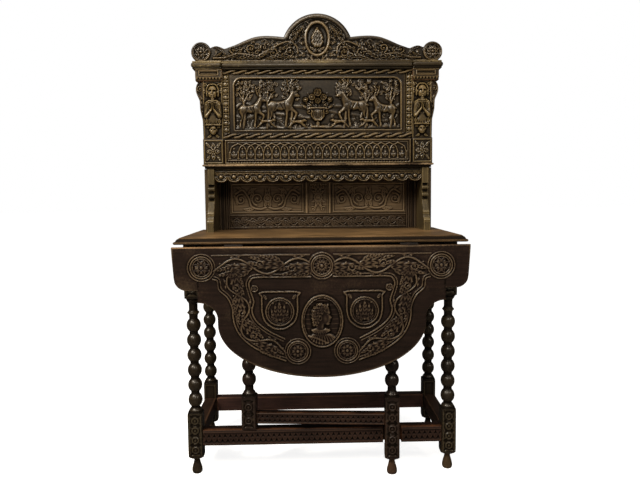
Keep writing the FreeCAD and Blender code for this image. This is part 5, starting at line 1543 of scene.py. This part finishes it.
def turned(profile, bottom, top, faces, laps=()):
    """A square stick turned to a profile of (height, radius).

    Where the radius is large the square is left, and carved. Over each lap the back half is cut away.
    """
    per_side, step = 22, 2.6
    across = np.linspace(-1, 1, per_side, endpoint=False)
    angles = np.concatenate([np.arctan(across) + quarter * math.pi / 2 for quarter in range(4)])
    levels = np.unique(np.round(np.concatenate(
        [np.arange(bottom, top, step), [top], [height for height, _ in profile]]), 2))
    levels = levels[(levels >= bottom) & (levels <= top)]
    heights, radii = np.array(profile, float).T
    lathe = np.interp(levels, heights, radii)
    c, s = np.abs(np.cos(angles)), np.abs(np.sin(angles))
    square = LEG_HALF / (c ** CORNER_POWER + s ** CORNER_POWER) ** (1 / CORNER_POWER)
    angle, level = np.meshgrid(angles, levels, indexing="ij")
    reach = np.minimum(lathe[None, :], square[:, None])
    squared = np.clip((lathe[None, :] - square[:, None]) / 2, 0, 1)
    cut = np.zeros_like(reach)
    for quarter in range(4):
        turn = (angle - quarter * math.pi / 2 + math.pi) % (2 * math.pi) - math.pi
        face = Carving(LEG_HALF * np.tan(np.clip(turn, -0.785, 0.785)), level)
        faces(face, quarter)
        cut = np.where(np.abs(turn) <= math.pi / 4 + 1e-6, face.height, cut)
    reach = reach + cut * squared / np.maximum(c, s)[:, None]
    points = np.stack([reach * np.cos(angle), reach * np.sin(angle), level], -1)
    for low, high in laps:
        lapped = (level >= low) & (level <= high)
        points[..., 1] = np.where(lapped, np.minimum(points[..., 1], 0), points[..., 1])
    corner = np.exp(-(np.abs(c - s) / 0.09) ** 2)[:, None] * squared
    carved = np.tanh((cut - blurred(cut, (3, 3))) / 0.6)
    beaded = np.tanh((lathe - blurred(lathe[None, :], (0, 9))[0]) / 5)[None, :]
    return woven_tube(points, relief=carved * squared + (1 - squared) * beaded,
                      rubbed=np.maximum(corner * 0.9, 1.05 * (level < FOOT_TOP)))


def foot_profile(floor):
    return [(floor, 11.5), (2.0, 14.2), (5, 15.8), (10, 16.5), (16, 15.9), (24, 13.9), (32, 11.6), (40, 9.6),
            (45, 8.8), (48, 9.6), (51, 12.0), (FOOT_TOP, 20.0), (56, 27.5), (60, 31.0), (63, SQUARE)]


def bead_profile(first, pitch, count):
    """Round beads that run into one another over short necks."""
    bead, neck = 22.2, 13.4
    return [(first + index * pitch + pitch * share, max(bead * math.sqrt(1 - (1.92 * share) ** 2), neck))
            for index in range(count) for share in np.linspace(-0.5, 0.5, 23)]


def shoulder(level, up):
    """The rounded end of a square block, towards the turning, with a fillet."""
    curve = ((0, SQUARE), (0.8, 30.0), (2, 25.0), (3.5, 23.4), (5, 22.4), (6, 19.9), (7, 20.6), (10, 19.6),
             (13, 17.6), (16, 15.4), (18.5, 13.8))
    return [(level + rise if up else level - rise, radius) for rise, radius in curve]


def block_carving(face, spans, rich=True):
    """Sunk fields on a face of a block; the rich ones have rings and notched triangles."""
    for low, high in spans:
        face.frame(-17.5, 17.5, low, high, 1.6, 1.0)
        if not rich:
            continue
        count = max(1, int((high - low) // 30))
        pitch = (high - low) / count
        for index in range(count):
            z = low + (index + 0.5) * pitch
            face.ring((0, z), 9.5, 1.9, 1.6)
            face.dome((0, z), 4.0, 1.8)
            for hand in HANDS:
                for rise in (-pitch, pitch):
                    face.groove([(hand * 15, z + rise * 0.48), (hand * 8, z + rise * 0.34)], 3.0, 1.8)
            face.groove([(-9, z + pitch / 2), (9, z + pitch / 2)], 2.4, 1.6)
            for hand in HANDS:
                face.groove([(hand * 7, z), (hand * 3, z)], 1.4, 0.8)


COLLAR = [(508, 13.6), (513.5, 14.0), (517, 17.2), (520, 19.6), (523, 17.0), (526, 14.4), (530, 13.6),
          (545, 13.6)]


def corner_legs():
    """Turned legs with square blocks, carved on the front and the outer side."""
    for end in ("front", "back"):
        for side, hand in SIDES.items():
            node = f"leg_{end}_{side}"
            low, high = node_box(node)
            top = high[2]
            profile = foot_profile(0) + shoulder(199, True) + bead_profile(240, 48, 6) + COLLAR
            profile += shoulder(568, False)[::-1] + [(top, SQUARE)]

            def carve(face, quarter):
                outer = 0 if hand > 0 else 2
                if quarter in (FRONT_FACE, outer):
                    block_carving(face, [(66, 193), (576, 618)], rich=end == "front")

            leg = turned(sorted(profile), 0, top, carve)
            points = coordinates(leg)
            points[:, :2] += (low + high)[:2] / 2 * MM
            reshape(leg, points)
            finish_piece(leg, f"turned_{node}", "frame", LEG_OAK, node, angle=45)


GATE_PIVOT = (-232.0, -117.35)
GATE_AJAR = math.radians(-4.3)
GATE_REACH = 452.0  # from the pivot to the gate's leg


def stand_ajar(piece, reach=0.0):
    """Move a piece out along the gate, and turn it about the pivot to where the gate stands."""
    points = coordinates(piece)
    points[:, 0] += reach * MM
    points = points @ np.array(Matrix.Rotation(GATE_AJAR, 3, "Z")).T
    points[:, :2] += np.array(GATE_PIVOT) * MM
    reshape(piece, points)


def gate():
    """A leg and a post, turned alike, and the carved lower rail between them."""
    def front_carving(*span):
        def carve(face, quarter):
            if quarter == FRONT_FACE:
                block_carving(face, [span])

        return carve

    shaft = shoulder(251, True) + bead_profile(303, 46.5, 5) + [(517, 13.0)] + shoulder(545, False)[::-1]
    floor, top = 0.5, 730
    leg = turned(sorted(foot_profile(floor) + shaft + [(top, SQUARE)]), floor, top, front_carving(66, 240),
                 laps=[(91, 147), (617, 731)])
    stand_ajar(leg, GATE_REACH)
    finish_piece(leg, "turned_gate_leg", "gate", GATE_OAK, "gate_leg", angle=45)

    low, high, pintle = 126.4, 637.6, 9.0
    ends = [(low, pintle), (144.3, pintle), (144.4, SQUARE), (619.5, SQUARE), (619.6, pintle), (high, pintle)]
    post = turned(sorted(ends + shaft), low, high, front_carving(152, 240))
    stand_ajar(post)
    finish_piece(post, "turned_gate_post", "gate", GATE_OAK, "gate_post", angle=45)

    def carve_rail(face):
        for level in (165, 194):
            face.ridge([(20, level), (432, level)], 1.6, 1.6)
        notched_band(face, 26, 426, 167, 192, 15.5)

    rail = carved_board(even(23, 429, 1.5), 161, 198, 26, -12.5, 13, carve_rail, edge=2.2, rub=1.3)
    stand_ajar(rail)
    finish_piece(rail, "carved_gate_lower_rail", "gate", RAIL_OAK, "gate_lower_rail", angle=60)


def notched_band(face, x0, x1, z0, z1, pitch):
    """Two rows of chip-cut triangles."""
    count = int((x1 - x0) / pitch)
    pitch = (x1 - x0) / count
    level = (face.z - z0) / (z1 - z0) * 2
    row = np.clip(np.floor(level), 0, 1)
    phase = ((face.x - x0) / pitch + 0.5 * row) % 1.0
    edge = np.minimum(1 - np.abs(phase - 0.5) * 2 - (level - row), level - row)
    inside = (face.x > x0) & (face.x < x1) & (level > 0) & (level < 2)
    depth = np.clip((edge - 0.06) * 9.0, 0, 3.0)
    face.height = np.where(inside, face.height - depth, face.height)


def front_stretcher():
    """A carved rail in two lengths, with the slot for the gate's leg between them."""
    low, high = node_box("front_stretcher")
    end, slot = 380, (193, 252)

    def carve(face):
        for level in (low[2] + 6, high[2] - 7):
            face.ridge([(-end, level), (end, level)], 1.8, 1.4)
        notched_band(face, 2 - end, end - 2, low[2] + 9, high[2] - 10, 17)

    parts = [carved_board(even(x0, x1, 1.6), low[2], high[2], 34, low[1] + 0.5, high[1], carve, edge=2.6,
                          rub=1.3) for x0, x1 in ((-end, slot[0]), (slot[1], end))]
    half_way = (low[1] + high[1]) / 2 + 0.5
    parts.append(block((slot[0] - 0.1, half_way, low[2]), (slot[1] + 0.1, high[1], high[2]), soften=1.0))
    finish_piece(joined(parts), "carved_front_stretcher", "frame", RAIL_OAK, "front_stretcher", angle=60)


def plain_rails():
    """Stretchers and aprons without carving, between the shoulders of their tenons."""
    tenon = 15
    for node, axis in (("back_stretcher", 0), ("side_stretcher_left", 1), ("side_stretcher_right", 1),
                       ("back_apron", 0), ("side_apron_left", 1), ("side_apron_right", 1)):
        low, high = node_box(node)
        low[axis] += tenon
        high[axis] -= tenon
        piece = block(low, high, soften=2.4, rub=1.2)
        finish_piece(piece, f"worn_{node}", "frame", SIDE_RAIL_OAK if axis else BACK_RAIL_OAK_PAINTED_LIGHTER, node, angle=40)


def remaining_solids():
    """The solids that show as they are."""
    for name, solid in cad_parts.items():
        solid.data.materials.clear()
        solid.data.materials.append(IRON if name.startswith("hinge") else PLAIN_OAK)


# Light, floor and camera
WARM = (1.0, 0.92, 0.79)
# Each lamp: name, place, aim, size in metres and watts
LAMPS = (("softbox_left", (-1.8, -1.8, 2.7), (0, 0, 0.85), 0.65, 92),
         ("softbox_right", (2.4, -2.4, 2.6), (0, 0, 0.75), 0.7, 27),
         ("front_light", (-0.3, -2.9, 2.7), (0, 0, 0.8), 0.8, 42),
         ("top_light", (0, -0.6, 3.6), (0, 0, 0.9), 2.0, 20))


def grey(level):
    return (level, level, level, 1)


def studio_floor():
    """A pale floor, dark to reflections and bright to the camera."""
    fresh()
    bpy.ops.mesh.primitive_plane_add(size=60, location=(0, 0, 0))
    floor = bpy.context.object
    floor.name = "studio_floor"
    paint = Paint("pale_floor")
    tone = paint.ramp(paint.noise(paint.place(), 0.8, 2.0), [(0.3, grey(0.86)), (0.7, grey(0.9))])
    mirrored = paint.node("ShaderNodeLightPath", output="Is Glossy Ray")
    seen = paint.node("ShaderNodeLightPath", output="Is Camera Ray")
    paint.feed(Base_Color=paint.mix(mirrored, tone, grey(0.06)), Roughness=0.9, Emission_Color=seen,
               Emission_Strength=0.8, Specular_IOR_Level=0.1)
    floor.data.materials.append(paint.material)


def studio_world():
    """A white backdrop to the camera, a dim one to reflections, and a weak light from all around."""
    world = bpy.data.worlds.new("studio")
    bpy.context.scene.world = world
    world.use_nodes = True
    nodes, links = world.node_tree.nodes, world.node_tree.links
    path = nodes.new("ShaderNodeLightPath")
    shown = nodes["Background"]
    shown.inputs["Color"].default_value = (1, 0.98, 0.95, 1)
    shown.inputs["Strength"].default_value = 0.2
    for ray, level in (("Is Glossy Ray", 0.06), ("Is Camera Ray", 1.0)):
        other = nodes.new("ShaderNodeBackground")
        other.inputs["Color"].default_value = grey(1)
        other.inputs["Strength"].default_value = level
        pick = nodes.new("ShaderNodeMixShader")
        links.new(path.outputs[ray], pick.inputs[0])
        links.new(shown.outputs[0], pick.inputs[1])
        links.new(other.outputs[0], pick.inputs[2])
        shown = pick
    links.new(shown.outputs[0], nodes["World Output"].inputs["Surface"])


def hang(name, data, spot, ahead, roll=0):
    """Put a lamp or camera in its place, looking along a direction."""
    holder = bpy.data.objects.new(name, data)
    bpy.context.scene.collection.objects.link(holder)
    holder.matrix_world = looking(spot, ahead, roll)
    return holder


def studio_lamps():
    for name, spot, aim, size, power in LAMPS:
        lamp = bpy.data.lights.new(name, "AREA")
        lamp.size = size
        lamp.energy = power
        lamp.color = WARM
        hang(name, lamp, spot, np.array(aim) - np.array(spot))
    sun = bpy.data.lights.new("even_light", "SUN")
    sun.energy = 0.3
    sun.angle = math.radians(50)
    hang("even_light", sun, (0, -3, 4), (0.15, 0.7, -0.8))


def looking(spot, ahead, roll):
    """The pose of a lamp or camera that looks along a direction, with its right side turned by a roll."""
    ahead = np.asarray(ahead, float) / np.linalg.norm(ahead)
    right = np.cross(ahead, (0, 0, 1))
    right /= np.linalg.norm(right)
    up = np.cross(right, ahead)
    turned_right = math.cos(roll) * right + math.sin(roll) * up
    turned_up = -math.sin(roll) * right + math.cos(roll) * up
    pose = np.identity(4)
    pose[:3, 0], pose[:3, 1], pose[:3, 2], pose[:3, 3] = turned_right, turned_up, -ahead, spot
    return Matrix(pose.tolist())


def camera():
    yaw, pitch, roll = 0.02353, 0.07708, -0.00966
    ahead = (math.sin(yaw) * math.cos(pitch), math.cos(yaw) * math.cos(pitch), -math.sin(pitch))
    eye = bpy.data.cameras.new("camera")
    eye.sensor_width = 36
    eye.lens = 33.75
    bpy.context.scene.camera = hang("camera", eye, (-0.04624, -1.9922, 0.88835), ahead, roll)


remaining_solids()
for build in (drop_leaf, relief_panel, frieze, corner_blocks, twisted_mouldings, side_mouldings, pilasters,
              capitals, side_consoles, cornice, crest, shelf, valance, brackets, gallery_ends, gallery,
              table_top, corner_legs, gate, front_stretcher, plain_rails, studio_floor, studio_world,
              studio_lamps, camera):
    build()
bpy.context.scene.view_settings.view_transform = "Standard"
